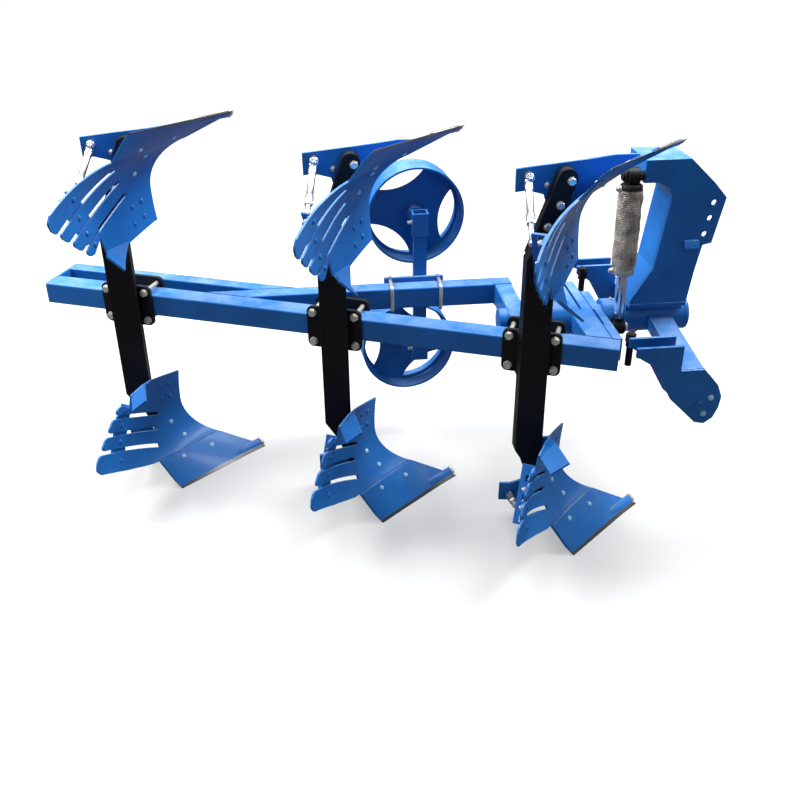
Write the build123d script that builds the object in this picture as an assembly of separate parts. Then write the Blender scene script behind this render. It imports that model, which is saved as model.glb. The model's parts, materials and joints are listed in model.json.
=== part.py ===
from build123d import *
from math import atan2, cos, degrees, hypot, radians, sin, sqrt
import os

os.makedirs("parts", exist_ok=True)

# Three-furrow mounted reversible moldboard plough, in millimetres.
# X points the way the plough travels, Y to its left, Z up. The pieces are laid out about the
# middle leg's station on the main beam's centre line, where z = 0 is the level of the beam and
# of the turnover axis, and the finished plough is moved so that the middle of its footprint on
# the ground is the origin. The upper set of bodies mirrors the lower set.

# Main frame tubes
beam_size = 100.0
beam_angle = 22.0
beam_rear_end = -1428.0
beam_front_end = 1199.0
tube_corner = 8.0
rear_beam_width = 70.0
rear_beam_gap = 88.0
rear_plate_thickness = 12.0
wheel_beam_near = 216.0
wheel_beam_width = 80.0
rear_member_x = 730.0
rear_member_width = 81.0
front_member_x = 998.0
front_member_width = 102.0
front_member_left = 205.0
member_slot_width = 12.0
member_slot_right = -97.0
member_slot_left = 173.0
flange_thickness = 30.0
flange_spacer = 8.0
flange_right = -400.0
flange_left = 87.0
flange_gap_right = -253.0
flange_gap_left = -104.0

# Turnover axis, shaft and its bearing tube
axis_y = -70.0
shaft_radius = 50.0
pivot_tube_radius = 75.0
stub_radius = 55.0
stub_length = 40.0
running_clearance = 0.1
moving_gap = 7.0
bearing_length = 360.0
cap_thickness = 18.0
cap_gap = 2.0

# Leg stations along the main beam, and the legs
leg_stations = {"rear": -995.6, "middle": 0.0, "front": 851.5}
leg_width = 115.0
leg_thickness = 60.0
leg_rear_x = -84.0
leg_far_y = -69.0
leg_straight = 430.0
leg_end = 520.0
leg_end_width = 60.0
leg_end_bevel = 12.0
bar_width = 75.0
bar_top = (-36.0, 420.0)
bar_tip = (70.0, 724.0)
landside_y = -14.0
landside_thickness = 12.0

# Leg clamps
clamp_plate = 16.0
clamp_half_length = 122.0
clamp_half_height = 95.0
clamp_corner = 26.0
clamp_bolt_u = 94.4
clamp_bolt_z = 67.8
clamp_bolt_radius = 10.0
clamp_bolt_hole = 11.0
clamp_head_radius = 17.0
clamp_head = 13.0
clamp_tail = 14.0

# Plough body surface: its width runs along "w", its depth below the beam is "d", and "m" is
# measured forward out of the surface
board_heading = 61.3
board_origin = (110.0, -60.0)
board_thickness = 9.0
share_thickness = 12.0
ear_thickness = 9.0
seat_gap = 0.3
board_clearing = 15.0
board_margin = 9.0
board_zone_back = 300.0
board_zone_front = 500.0
slot_width = 18.0
finger_round = 16.0
finger_end_w = 365.0
ground_depth = 845.0
share_bevel_start = 0.75
share_edge_thickness = 0.25
bar_standing = 62.0
bar_flange = 108.0
bar_thickness = 8.0
stay_radius = 11.0
stay_sleeve_radius = 16.0

# Gauge wheels
wheel_radius = 228.0
wheel_width = 150.0
wheel_rim = 9.0
wheel_disc = 10.0
wheel_disc_inset = 82.0
wheel_openings = 3
opening_radius = 217.0
opening_centre = 345.0
opening_first = {"upper": -110.0, "lower": -62.0}
opening_margin = 14.0
hub_inset = 16.0
wheel_near_y = 380.0
wheel_height = 335.0
wheel_toe = 6.0
wheel_x = {"upper": 386.0, "lower": 350.0}
hub_radius = 38.0
axle_radius = 20.0
post_x = 367.0
post_width = 60.0
post_depth = 54.0
post_top = 330.0
sleeve_wall = 7.0
sleeve_low = 262.0
sleeve_high = 371.0
sleeve_arm_thickness = 6.0
sleeve_arm_half = 34.0
axle_nut_radius = 32.0
axle_nut_length = 14.0
axle_nut_gap = 2.0
clamp_face = 16.0
clamp_left_x = 226.0
clamp_right_x = 502.0
clamp_top = 71.0
ubolt_radius = 8.0
ubolt_x = (255.0, 480.0)
ubolt_thread = 22.0

# Headstock
tower_near = -167.0
tower_width = 195.0
tower_plate = 16.0
tower_rear_x = 1239.0
tower_web = 12.0
tower_top_z = 718.0
tower_foot_z = 89.0
tower_foot_front = 1489.0
saddle_plate = 14.0
saddle_block_half = 60.0
saddle_block_low = 40.0
top_link_radius = 13.0
top_link_holes = ((1547.0, 531.0), (1539.0, 465.0), (1526.0, 396.0))
cross_bar_x = 1338.0
cross_bar_width = 100.0
cross_bar_height = 60.0
cross_bar_root = (-115.0, 28.0)
cross_bar_drop = 62.0
clevis_reach = 479.0
clevis_plate = 14.0
clevis_gap = 74.0
clevis_top = 78.0
clevis_rear_x = 1147.0
link_pin_radius = 14.0
link_pin_head_radius = 22.0
link_pin_head = 10.0
link_pin_at = (1440.0, -200.0)
stop_x = 1164.0
stop_reach = 350.0
stop_radius = 14.0
stop_half = 60.0
stop_block_low = 42.0
stop_block_high = 70.0
stop_block_wall = 4.0

# Turnover cylinder
cylinder_x = 1189.0
crank_y = -185.0
cylinder_pin_radius = 18.0
cylinder_pin_gap = 0.5
pin_washer_radius = 28.0
pin_washer = 5.0
eye_width = 48.0
eye_radius = 34.0
eye_neck = 45.0
rod_radius = 22.5
rod_length = 470.0
barrel_radius = 43.0
collar_radius = 44.0
collar_length = 26.0
barrel_low = 243.0
barrel_high = 610.0
barrel_bore_floor = 600.0
cylinder_top = (-160.0, 655.0)


# Places worked out from the sizes above

beam_half = beam_size / 2
flange_x = front_member_x + front_member_width + flange_spacer
frame_front_x = flange_x + flange_thickness
bearing_x = frame_front_x + moving_gap
bearing_end = bearing_x + bearing_length
cap_x = bearing_end + cap_gap
wheel_beam_far = wheel_beam_near + wheel_beam_width
tower_far = tower_near + tower_width
clevis_outer = axis_y - clevis_reach
far_away = 4000.0


def along_beam(u, v=0.0):
    """Frame point (x, y) of a place u along the main beam and v to its left."""
    turn = radians(beam_angle)
    return u * cos(turn) + v * sin(turn), v * cos(turn) - u * sin(turn)


def beam_box(u_low, u_high, v_low, v_high, z_low, z_high):
    """Box set out along the main beam."""
    box = Box(u_high - u_low, v_high - v_low, z_high - z_low)
    middle = Pos((u_low + u_high) / 2, (v_low + v_high) / 2, (z_low + z_high) / 2)
    return Rot(0, 0, -beam_angle) * (middle * box)


def span_box(x_low, x_high, y_low, y_high, z_low, z_high):
    """Box from its six faces."""
    box = Box(x_high - x_low, y_high - y_low, z_high - z_low)
    return Pos((x_low + x_high) / 2, (y_low + y_high) / 2, (z_low + z_high) / 2) * box


def side_plate(outline, y_low, y_high):
    """Plate with an outline of (x, z) points, between two y faces."""
    blank = extrude(make_face(Polyline(*outline, close=True)), amount=y_high - y_low)
    return Pos(0, y_high, 0) * (Rot(90, 0, 0) * blank)


def cross_plate(outline, x_low, x_high):
    """Plate with an outline of (y, z) points, between two x faces."""
    blank = extrude(make_face(Polyline(*outline, close=True)), amount=x_high - x_low)
    return Pos(x_low, 0, 0) * (Plane.YZ * blank)


def bar_along_x(radius, x_low, x_high, y, z):
    """Round bar along X."""
    return Pos((x_low + x_high) / 2, y, z) * (Rot(0, 90, 0) * Cylinder(radius, x_high - x_low))


def bar_along_y(radius, y_low, y_high, x, z):
    """Round bar along Y."""
    return Pos(x, (y_low + y_high) / 2, z) * (Rot(90, 0, 0) * Cylinder(radius, y_high - y_low))


def bar_between(radius, start, end):
    """Round bar from one point to another."""
    path = Vector(*end) - Vector(*start)
    return Plane(origin=start, z_dir=path) * extrude(Circle(radius), amount=path.length)


def upper(part):
    """The mirror image of a lower piece above the beam."""
    return mirror(part, Plane.XY)


def at_station(part, name):
    """A piece made about the beam's centre, moved to a leg station."""
    x, y = along_beam(leg_stations[name])
    return Pos(x, y, 0) * part


# Frame

def round_tube(part, direction):
    """Break the four long corners of a tube."""
    return fillet(part.edges().filter_by(direction), tube_corner)


def make_main_beam():
    length = beam_front_end - beam_rear_end
    tube = round_tube(Box(length, beam_size, beam_size), Axis.X)
    return Rot(0, 0, -beam_angle) * (Pos((beam_front_end + beam_rear_end) / 2, 0, 0) * tube)


def make_rear_beam():
    length = beam_front_end - beam_rear_end
    tube = round_tube(Box(length, rear_beam_width, beam_size), Axis.X)
    offset = beam_half + rear_beam_gap + rear_beam_width / 2
    placed = Pos((beam_front_end + beam_rear_end) / 2, offset, 0) * tube
    placed = Rot(0, 0, -beam_angle) * placed
    return placed - span_box(-far_away, far_away, -far_away, wheel_beam_far, -beam_size, beam_size)


def make_rear_plate():
    return beam_box(
        beam_rear_end,
        beam_rear_end + rear_plate_thickness,
        beam_half,
        beam_half + rear_beam_gap,
        -beam_half,
        beam_half,
    )


def clear_of_main_beam(part):
    """Cut a piece back to the main beam's left face."""
    return part - beam_box(-far_away, beam_front_end, -far_away, beam_half, -beam_size, beam_size)


def make_wheel_beam():
    front = rear_member_x + rear_member_width
    length = front + far_away / 4
    tube = round_tube(Box(length, wheel_beam_width, beam_size), Axis.X)
    placed = Pos(front - length / 2, wheel_beam_near + wheel_beam_width / 2, 0) * tube
    return clear_of_main_beam(placed)


def make_rear_member():
    right = flange_right
    tube = Box(rear_member_width, wheel_beam_near - right, beam_size)
    tube = round_tube(tube, Axis.Y)
    placed = Pos(rear_member_x + rear_member_width / 2, (wheel_beam_near + right) / 2, 0) * tube
    return clear_of_main_beam(placed)


def make_front_member():
    right = flange_right
    tube = round_tube(Box(front_member_width, front_member_left - right, beam_size), Axis.Y)
    placed = Pos(front_member_x + front_member_width / 2, (front_member_left + right) / 2, 0) * tube
    slot_x = front_member_x + (front_member_width - member_slot_width) / 2
    slot = span_box(
        slot_x,
        slot_x + member_slot_width,
        member_slot_right,
        member_slot_left,
        -beam_size,
        beam_size,
    )
    return clear_of_main_beam(placed - slot)


def make_front_flange():
    plate = span_box(flange_x, frame_front_x, flange_right, flange_left, -beam_half, beam_half)
    pad_x = flange_x - flange_spacer
    near_pad = span_box(pad_x, flange_x, flange_right, flange_gap_right, -beam_half, beam_half)
    far_pad = span_box(pad_x, flange_x, flange_gap_left, flange_left, -beam_half, beam_half)
    return clear_of_main_beam(plate + near_pad + far_pad)


def make_pivot_tube():
    rear = rear_member_x + rear_member_width
    tube = bar_along_x(pivot_tube_radius, rear, front_member_x, axis_y, 0)
    stub = bar_along_x(stub_radius, rear_member_x - stub_length, rear_member_x, axis_y, 0)
    return Compound([tube, stub])


def make_turnover_shaft():
    shaft = bar_along_x(shaft_radius, frame_front_x, cap_x, axis_y, 0)
    cap = bar_along_x(pivot_tube_radius, cap_x, cap_x + cap_thickness, axis_y, 0)
    return shaft + cap


# Legs and their clamps

def leg_outline():
    """Leg box seen from the side, as (x, z) points."""
    front = leg_rear_x + leg_width
    narrow = front - leg_end_width
    corners = (
        (leg_rear_x, leg_straight),
        (narrow, leg_end),
        (front - leg_end_bevel, leg_end),
        (front, leg_straight),
    )
    return corners + tuple((x, -z) for x, z in reversed(corners))


def leg_bar():
    """Inclined bar at a leg's upper end, which the body is bolted to."""
    run = hypot(bar_tip[0] - bar_top[0], bar_tip[1] - bar_top[1])
    lean = degrees(atan2(bar_tip[1] - bar_top[1], bar_tip[0] - bar_top[0]))
    blank = Pos(run / 2, 0) * Rectangle(run, bar_width) + Pos(run, 0) * Circle(bar_width / 2)
    thickness = landside_y - landside_thickness - leg_far_y
    bar = extrude(Rot(0, 0, lean) * blank, amount=thickness)
    return Pos(bar_top[0], leg_far_y + thickness, bar_top[1]) * (Rot(90, 0, 0) * bar)


def make_leg():
    post = side_plate(leg_outline(), leg_far_y - leg_thickness, leg_far_y)
    bar = leg_bar()
    return post + bar + upper(bar)


def clamp_blank(v_low, v_high):
    """Clamp plate with rounded corners, standing against a side of the main beam."""
    plate = Box(2 * clamp_half_length, v_high - v_low, 2 * clamp_half_height)
    plate = fillet(plate.edges().filter_by(Axis.Y), clamp_corner)
    for u in (-clamp_bolt_u, clamp_bolt_u):
        for z in (-clamp_bolt_z, clamp_bolt_z):
            plate = plate - bar_along_y(clamp_bolt_hole, -clamp_plate, clamp_plate, u, z)
    return Rot(0, 0, -beam_angle) * (Pos(0, (v_low + v_high) / 2, 0) * plate)


def make_clamp(leg):
    """Near plate with the wedge that squares the leg to the line of travel, and far plate."""
    near = clamp_blank(-beam_half - clamp_plate, -beam_half)
    slope = radians(beam_angle)
    plate_face = -beam_half - clamp_plate
    rear_y = (plate_face - leg_rear_x * sin(slope)) / cos(slope)
    meet_x = (plate_face - leg_far_y * cos(slope)) / sin(slope)
    wedge = make_face(
        Polyline((leg_rear_x, leg_far_y), (meet_x, leg_far_y), (leg_rear_x, rear_y), close=True)
    )
    wedge = Pos(0, 0, -clamp_half_height) * extrude(wedge, amount=2 * clamp_half_height)
    far = clamp_blank(beam_half, beam_half + clamp_plate)
    return Compound([(near + wedge) - leg, far])


def make_clamp_bolts():
    """Bolts that draw the clamp plates together, over and under the beam."""
    near = -beam_half - clamp_plate
    far = beam_half + clamp_plate
    bolts = []
    for u in (-clamp_bolt_u, clamp_bolt_u):
        for z in (-clamp_bolt_z, clamp_bolt_z):
            shank = bar_along_y(clamp_bolt_radius, near - clamp_head, far + clamp_tail, u, z)
            head = bar_along_y(clamp_head_radius, near - clamp_head, near, u, z)
            nut = bar_along_y(clamp_head_radius, far, far + clamp_head, u, z)
            bolts.append(Rot(0, 0, -beam_angle) * (shank + head + nut))
    return bolts


# Plough bodies

# Each row is one section across the board: its place along w, the depth where it stands
# upright, its forward place there, and the radii of its arcs below and above that depth
# Columns: w, turn, lean, low_radius, high_radius
board_sections = (
    (-140.0, 515.0, 20.0, 250.0, 1500.0),
    (165.0, 550.0, -12.0, 215.0, 1400.0),
    (580.0, 520.0, 5.0, 900.0, 3000.0),
)
board_top_depth = 225.0

# Board outline as (w, d) points, from the top at the landside round the tail to the share
board_outline = (
    (-150.0, 392.0),
    (-45.0, 378.0),
    (138.0, 336.0),
    (196.0, 334.0),
    (277.0, 345.0),
    (290.0, 412.0),
    (318.0, 386.0),
    (344.0, 362.0),
    (370.0, 360.0),
    (562.0, 532.0),
    (576.0, 566.0),
    (556.0, 596.0),
    (480.0, 632.0),
    (400.0, 667.0),
    (313.0, 697.0),
    (262.0, 711.0),
)
share_joint_wing = (222.0, 716.0)
share_joint_nose = (-138.0, 736.0)
share_joint_gap = 0.5
board_low_depth = share_joint_nose[1] + board_margin

# Slots between the fingers, each from its root to its open end, as (w, d)
finger_slots = (
    ((170.0, 670.0), (504.0, 515.0)),
    ((130.0, 603.0), (447.0, 458.0)),
    ((96.0, 540.0), (386.0, 399.0)),
)

# Ear bent forward at the breast's upper corner: two facets of (w, d, m) corners that share the
# fold from the board's edge to the ear's top
ear_facets = (
    ((138.0, 343.0, 2.0), (237.0, 294.0, 51.0), (277.0, 354.0, 2.0)),
    ((277.0, 354.0, 2.0), (237.0, 294.0, 51.0), (340.0, 308.0, 132.0), (360.0, 365.0, 68.0)),
)

# Share sections. Columns: w, (d, m) of the upper edge, (d, m) of the cutting edge
share_sections = (
    (226.0, (716.0, 66.0), (ground_depth, 168.0)),
    (-138.0, (736.0, 156.0), (ground_depth, 306.0)),
    (-240.0, (832.0, 334.0), (ground_depth, 350.0)),
)


def board_place():
    """Location of the (w, d, m) axes of a lower body."""
    heading = radians(board_heading)
    across = (-cos(heading), -sin(heading), 0)
    forward = (sin(heading), -cos(heading), 0)
    return Plane(origin=(board_origin[0], board_origin[1], 0), x_dir=across, z_dir=forward)


def board_curve(row, offset, depth):
    """Forward place of the board at a depth, "offset" behind its front face."""
    w, turn, lean, low_radius, high_radius = row
    radius = low_radius if depth > turn else high_radius
    return lean + radius - sqrt((radius + offset) ** 2 - (depth - turn) ** 2)


def board_sheet(front_offset, back_offset):
    """Curved sheet that follows the board, between two offsets behind its front face."""
    sections = []
    for row in board_sections:
        w, turn = row[0], row[1]
        edges = []
        for offset in (front_offset, back_offset):
            for start, end in ((board_top_depth, turn), (turn, board_low_depth)):
                depths = (start, (start + end) / 2, end)
                edges.append(ThreePointArc(*((d, board_curve(row, offset, d)) for d in depths)))
        front_top, front_low, back_top, back_low = edges
        outline = [
            front_top,
            front_low,
            Line(front_low @ 1, back_low @ 1),
            back_low,
            back_top,
            Line(back_top @ 0, front_top @ 0),
        ]
        plane = Plane(origin=(w, 0, 0), x_dir=(0, 1, 0), z_dir=(1, 0, 0))
        sections.append(plane * make_face(outline))
    return loft(sections)


def strip(start, end, width, reach=0.0):
    """Outline of a straight strip from one (w, d) point past another."""
    run = hypot(end[0] - start[0], end[1] - start[1])
    along = ((end[0] - start[0]) / run, (end[1] - start[1]) / run)
    side = (-along[1] * width / 2, along[0] * width / 2)
    tail = (end[0] + along[0] * reach, end[1] + along[1] * reach)
    return (
        (start[0] + side[0], start[1] + side[1]),
        (tail[0] + side[0], tail[1] + side[1]),
        (tail[0] - side[0], tail[1] - side[1]),
        (start[0] - side[0], start[1] - side[1]),
    )


def right_of_landside(part):
    """Trim a body piece flush with the landside's outer face."""
    return part - span_box(-far_away, far_away, landside_y, far_away, -far_away, far_away)


def board_blank():
    """Board outline with its slots, the fingers rounded at their ends."""
    wing = (share_joint_wing[0], share_joint_wing[1] - share_joint_gap)
    nose = (share_joint_nose[0], share_joint_nose[1] - share_joint_gap)
    blank = make_face(Polyline(*board_outline, wing, nose, close=True))
    for root, tail in finger_slots:
        slot = strip(root, tail, slot_width, slot_width * 5)
        blank = blank - make_face(Polyline(*slot, close=True))
    return fillet([v for v in blank.vertices() if v.X > finger_end_w], finger_round)


def through_board(face):
    """Solid through the board from a face in its (w, d) plane."""
    return Pos(0, 0, -board_zone_back) * extrude(face, amount=board_zone_back + board_zone_front)


def ear_facet(corners):
    """Flat plate about a facet's corners, in the plane of the first three."""
    start, top, front = (Vector(*corner) for corner in corners[:3])
    plane = Plane(origin=start, x_dir=top - start, z_dir=(top - start).cross(front - start))
    flat = [plane.to_local_coords(Vector(*corner)) for corner in corners]
    face = make_face(Polyline(*((point.X, point.Y) for point in flat), close=True))
    return plane * extrude(face, amount=ear_thickness / 2, both=True)


def make_moldboard():
    board = board_sheet(0.0, board_thickness) & through_board(board_blank())
    for corners in ear_facets:
        board = board + ear_facet(corners)
    return right_of_landside(board_place() * board)


def share_face(w, upper_edge, cutting_edge):
    """Section of the share, with a bevel behind its cutting edge."""
    run = cutting_edge[0] - upper_edge[0]
    rise = cutting_edge[1] - upper_edge[1]
    back = share_thickness * hypot(run, rise) / run
    bevel = share_bevel_start
    outline = (
        upper_edge,
        cutting_edge,
        (cutting_edge[0], cutting_edge[1] - back * share_edge_thickness),
        (upper_edge[0] + run * bevel, upper_edge[1] + rise * bevel - back),
        (upper_edge[0], upper_edge[1] - back),
    )
    plane = Plane(origin=(w, 0, 0), x_dir=(0, 1, 0), z_dir=(1, 0, 0))
    return plane * make_face(Polyline(*outline, close=True))


def make_share():
    share = loft([share_face(*row) for row in share_sections], ruled=True)
    return right_of_landside(board_place() * share)


landside_inner = landside_y - landside_thickness
heel_outline = (
    (-119.0, -757.0),
    (38.0, -773.0),
    (-8.0, -655.0),
    (-73.0, -673.0),
    (-118.0, -668.0),
)
frog_rear = ((-8.0, -655.0), (38.0, -773.0))
frog_sole = ((156.0, -784.0), (260.0, -797.0), (352.0, -797.0))
frog_front = ((294.0, -766.0), (186.0, -676.0), (133.0, -530.0))
frog_top = ((133.0, -440.0), (60.0, -440.0))


def largest(part):
    """The biggest solid of a cut piece."""
    return part.solids().sort_by(SortBy.VOLUME)[-1]


def make_frog():
    """Landside plate that the leg, board and share are bolted to, fitted behind the board."""
    low = Polyline(frog_top[1], *frog_rear, *frog_sole, frog_front[0])
    curve = ThreePointArc(*frog_front)
    high = Polyline(frog_front[2], *frog_top)
    blank = extrude(make_face([low, curve, high]), amount=landside_thickness)
    blank = Pos(0, landside_y, 0) * (Rot(90, 0, 0) * blank)
    return largest(blank - board_place() * board_sheet(-board_clearing, board_thickness + seat_gap))


def make_heel():
    return side_plate(heel_outline, landside_inner, landside_y)


# Tail bar: an angle behind the fingers, from its upper to its lower end, as (w, d)
tail_bar_upper = (266.0, 405.0)
tail_bar_lower = (375.0, 631.0)
tail_bar_windows = (457.0, 531.0, 610.0)
window_size = 28.0


def make_tail_bar():
    run_w = tail_bar_lower[0] - tail_bar_upper[0]
    run_d = tail_bar_lower[1] - tail_bar_upper[1]
    run = hypot(run_w, run_d)
    lean = degrees(atan2(run_d, run_w))
    band = (
        tail_bar_upper,
        (tail_bar_upper[0] + bar_flange, tail_bar_upper[1]),
        (tail_bar_lower[0] + bar_flange, tail_bar_lower[1]),
        tail_bar_lower,
    )
    inner = board_thickness + seat_gap
    face = make_face(Polyline(*band, close=True)) & make_face(Polyline(*board_outline, close=True))
    flange = board_sheet(inner, inner + bar_thickness) & through_board(face)
    height = bar_standing + board_thickness
    standing = Pos(run / 2, -bar_thickness / 2, -height / 2) * Box(run, bar_thickness, height)
    for depth in tail_bar_windows:
        place = (depth - tail_bar_upper[1]) / run_d * run
        window = Box(window_size, 4 * bar_thickness, window_size)
        standing = standing - Pos(place, 0, -height / 2) * window
    standing = Pos(*tail_bar_upper, 0) * (Rot(0, 0, lean) * standing)
    standing = largest(standing - board_sheet(-board_clearing, inner))
    return board_place() * (flange + standing)


stay_gap = 2.0
stay_start = (-72.0, landside_inner - stay_gap, -730.0)
stay_end_w = 340.0
stay_end_d = 567.0
stay_end_m = -74.0
stay_boss = 30.0
stay_rod_start = 0.03
stay_sleeve_start = 0.14
stay_sleeve_end = 0.68


def board_point(w, d, m):
    """Body point of a (w, d, m) place."""
    heading = radians(board_heading)
    x = board_origin[0] - w * cos(heading) + m * sin(heading)
    y = board_origin[1] - w * sin(heading) - m * cos(heading)
    return x, y, -d


def make_stay():
    """Screwed stay between the landside's heel and the tail bar."""
    start = Vector(*stay_start)
    end = Vector(*board_point(stay_end_w, stay_end_d, stay_end_m))
    path = end - start
    rod = bar_between(stay_radius, tuple(start + path * stay_rod_start), tuple(end))
    sleeve_low = tuple(start + path * stay_sleeve_start)
    sleeve_high = tuple(start + path * stay_sleeve_end)
    sleeve = bar_between(stay_sleeve_radius, sleeve_low, sleeve_high)
    boss_y = stay_start[1] - stay_boss
    boss = bar_along_y(stay_sleeve_radius, boss_y, landside_inner, stay_start[0], stay_start[2])
    return rod + sleeve + boss


# Gauge wheels

def wheel_place(side):
    """Axes of a wheel: its centre on the near rim plane, local Z along the axle to the left."""
    toe = radians(wheel_toe)
    height = wheel_height if side == "upper" else -wheel_height
    return Plane(
        origin=(wheel_x[side], wheel_near_y, height),
        x_dir=(cos(toe), sin(toe), 0),
        z_dir=(-sin(toe), cos(toe), 0),
    )


def make_wheel(side):
    rim = extrude(Circle(wheel_radius), amount=wheel_width)
    rim = rim - extrude(Circle(wheel_radius - wheel_rim), amount=wheel_width)
    disc = extrude(Circle(wheel_radius - wheel_rim / 2), amount=wheel_disc)
    lens = Pos(opening_centre, 0, 0) * Cylinder(opening_radius, 4 * wheel_disc)
    lens = lens & Cylinder(wheel_radius - wheel_rim - opening_margin, 4 * wheel_disc)
    for step in range(wheel_openings):
        disc = disc - Rot(0, 0, opening_first[side] + step * 360.0 / wheel_openings) * lens
    disc = Pos(0, 0, wheel_disc_inset) * disc
    hub = Pos(0, 0, hub_inset) * extrude(Circle(hub_radius), amount=wheel_width - hub_inset)
    bore = extrude(Circle(axle_radius + running_clearance), amount=wheel_width)
    return wheel_place(side) * ((rim + disc + hub) - bore)


def make_wheel_post():
    near = wheel_beam_far + clamp_face
    return span_box(post_x, post_x + post_width, near, near + post_depth, -post_top, post_top)


def make_sleeve(side):
    """Sleeve on the post's end, with the arm that carries the wheel's axle."""
    near = wheel_beam_far + clamp_face
    block = span_box(
        post_x - sleeve_wall,
        post_x + post_width + sleeve_wall,
        near - sleeve_wall,
        near + post_depth + sleeve_wall,
        sleeve_low,
        sleeve_high,
    )
    block = block - span_box(post_x, post_x + post_width, near, near + post_depth, 0, far_away)
    arm_y = near + post_depth + sleeve_wall
    arm = span_box(
        wheel_x[side] - sleeve_arm_half,
        post_x + post_width + sleeve_wall,
        arm_y,
        arm_y + sleeve_arm_thickness,
        wheel_height - sleeve_arm_half,
        wheel_height + sleeve_arm_half,
    )
    part = block + arm
    if side == "lower":
        part = upper(part)
    axle_start = arm_y - wheel_near_y
    nut_start = wheel_width + axle_nut_gap
    axle = Pos(0, 0, axle_start) * extrude(Circle(axle_radius), amount=nut_start - axle_start)
    nut = Pos(0, 0, nut_start) * extrude(Circle(axle_nut_radius), amount=axle_nut_length)
    return part + wheel_place(side) * (axle + nut)


def make_wheel_clamp():
    face = span_box(
        clamp_left_x,
        clamp_right_x,
        wheel_beam_far,
        wheel_beam_far + clamp_face,
        -clamp_top,
        clamp_top,
    )
    for x in ubolt_x:
        for z in (-1, 1):
            hole = bar_along_y(ubolt_radius, 0, far_away, x, z * (beam_half + ubolt_radius))
            face = face - hole
    return face


def make_ubolts():
    """U-bolts round the wheel beam, closed at its near side."""
    bolts = []
    reach = wheel_beam_far + clamp_face + ubolt_thread
    level = beam_half + ubolt_radius
    near = wheel_beam_near - 2 * ubolt_radius
    for x in ubolt_x:
        legs = bar_along_y(ubolt_radius, near, reach, x, level)
        legs = legs + bar_along_y(ubolt_radius, near, reach, x, -level)
        cross = span_box(
            x - ubolt_radius,
            x + ubolt_radius,
            near,
            wheel_beam_near,
            -level,
            level,
        )
        bolts.append(legs + cross)
    return bolts


# Headstock

tower_outline = (
    (tower_rear_x, tower_top_z),
    (1426.0, tower_top_z),
    (1538.0, 615.0),
    (1596.0, 552.0),
    (1561.0, 357.0),
    (1524.0, 349.0),
    (1505.0, 233.0),
    (tower_foot_front, tower_foot_z),
    (tower_rear_x, tower_foot_z),
)
tower_window = (
    (tower_rear_x, 625.0),
    (1300.0, 625.0),
    (1347.0, 603.0),
    (1365.0, 557.0),
    (1325.0, 252.0),
    (tower_rear_x, 106.0),
)


def make_tower_plate(y_low):
    y_high = y_low + tower_plate
    plate = side_plate(tower_outline, y_low, y_high) - side_plate(tower_window, y_low, y_high)
    for x, z in top_link_holes:
        plate = plate - bar_along_y(top_link_radius, y_low, y_high, x, z)
    return plate


def make_tower_webs():
    """Plates between the tower's sides: round the window, the rear end and the top."""
    near = tower_near + tower_plate
    far = tower_far - tower_plate
    opening = make_face(Polyline(*tower_window, close=True))
    rim = extrude(offset(opening, tower_web, kind=Kind.INTERSECTION) - opening, amount=far - near)
    rim = Pos(0, far, 0) * (Rot(90, 0, 0) * rim)
    rim = rim & span_box(tower_rear_x, tower_foot_front, near, far, tower_foot_z, tower_top_z)
    rear = span_box(tower_rear_x, tower_rear_x + tower_web, near, far, tower_window[0][1], tower_top_z)
    top = span_box(tower_rear_x, tower_outline[1][0], near, far, tower_top_z - tower_web, tower_top_z)
    return rim + rear + top


def make_bearing_tube():
    tube = bar_along_x(pivot_tube_radius, bearing_x, bearing_end, axis_y, 0)
    bore = bar_along_x(shaft_radius + running_clearance, 0, far_away, axis_y, 0)
    return tube - bore


def make_saddle():
    """Foot of the tower, shaped to the bearing tube."""
    base_z = tower_foot_z - saddle_plate
    base = span_box(tower_rear_x, tower_foot_front, tower_near, tower_far, base_z, tower_foot_z)
    block = span_box(
        tower_rear_x,
        tower_foot_front,
        axis_y - saddle_block_half,
        axis_y + saddle_block_half,
        saddle_block_low,
        base_z,
    )
    return (base + block) - bar_along_x(pivot_tube_radius, 0, far_away, axis_y, 0)


def cross_bar():
    """Near arm of the lower hitch, from the bearing tube to the outer clevis plate."""
    root_y, root_z = cross_bar_root
    end_z = root_z - cross_bar_drop
    arm = cross_plate(
        (
            (root_y, root_z),
            (clevis_outer, end_z),
            (clevis_outer, end_z - cross_bar_height),
            (root_y, root_z - cross_bar_height),
        ),
        cross_bar_x,
        cross_bar_x + cross_bar_width,
    )
    return arm - bar_along_x(pivot_tube_radius, 0, far_away, axis_y, 0)


def clevis_outline():
    """Clevis plate as (x, z) points, with its rear finger over the frame's end."""
    end_z = cross_bar_root[1] - cross_bar_drop
    return (
        (clevis_rear_x, clevis_top),
        (cross_bar_x, clevis_top),
        (cross_bar_x, end_z),
        (cross_bar_x + cross_bar_width, end_z),
        (1468.0, -64.0),
        (1506.0, -109.0),
        (1528.0, -164.0),
        (1522.0, -215.0),
        (1504.0, -262.0),
        (1470.0, -287.0),
        (1429.0, -279.0),
        (1312.0, -163.0),
        (1250.0, -54.0),
        (1219.0, -3.0),
        (1160.0, 35.0),
        (clevis_rear_x, 38.0),
    )


def left_side(part):
    """The mirror image of a headstock piece across the turnover axis."""
    return mirror(part, Plane(origin=(0, axis_y, 0), z_dir=(0, 1, 0)))


def make_clevis():
    """Twin plates of one lower-link clevis."""
    plates = []
    for y_low in (clevis_outer, clevis_outer + clevis_plate + clevis_gap):
        plate = side_plate(clevis_outline(), y_low, y_low + clevis_plate) - cross_bar()
        x, z = link_pin_at
        pin_hole = bar_along_y(link_pin_radius, y_low, y_low + clevis_plate, x, z)
        plates.append(plate - pin_hole)
    return plates


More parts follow.
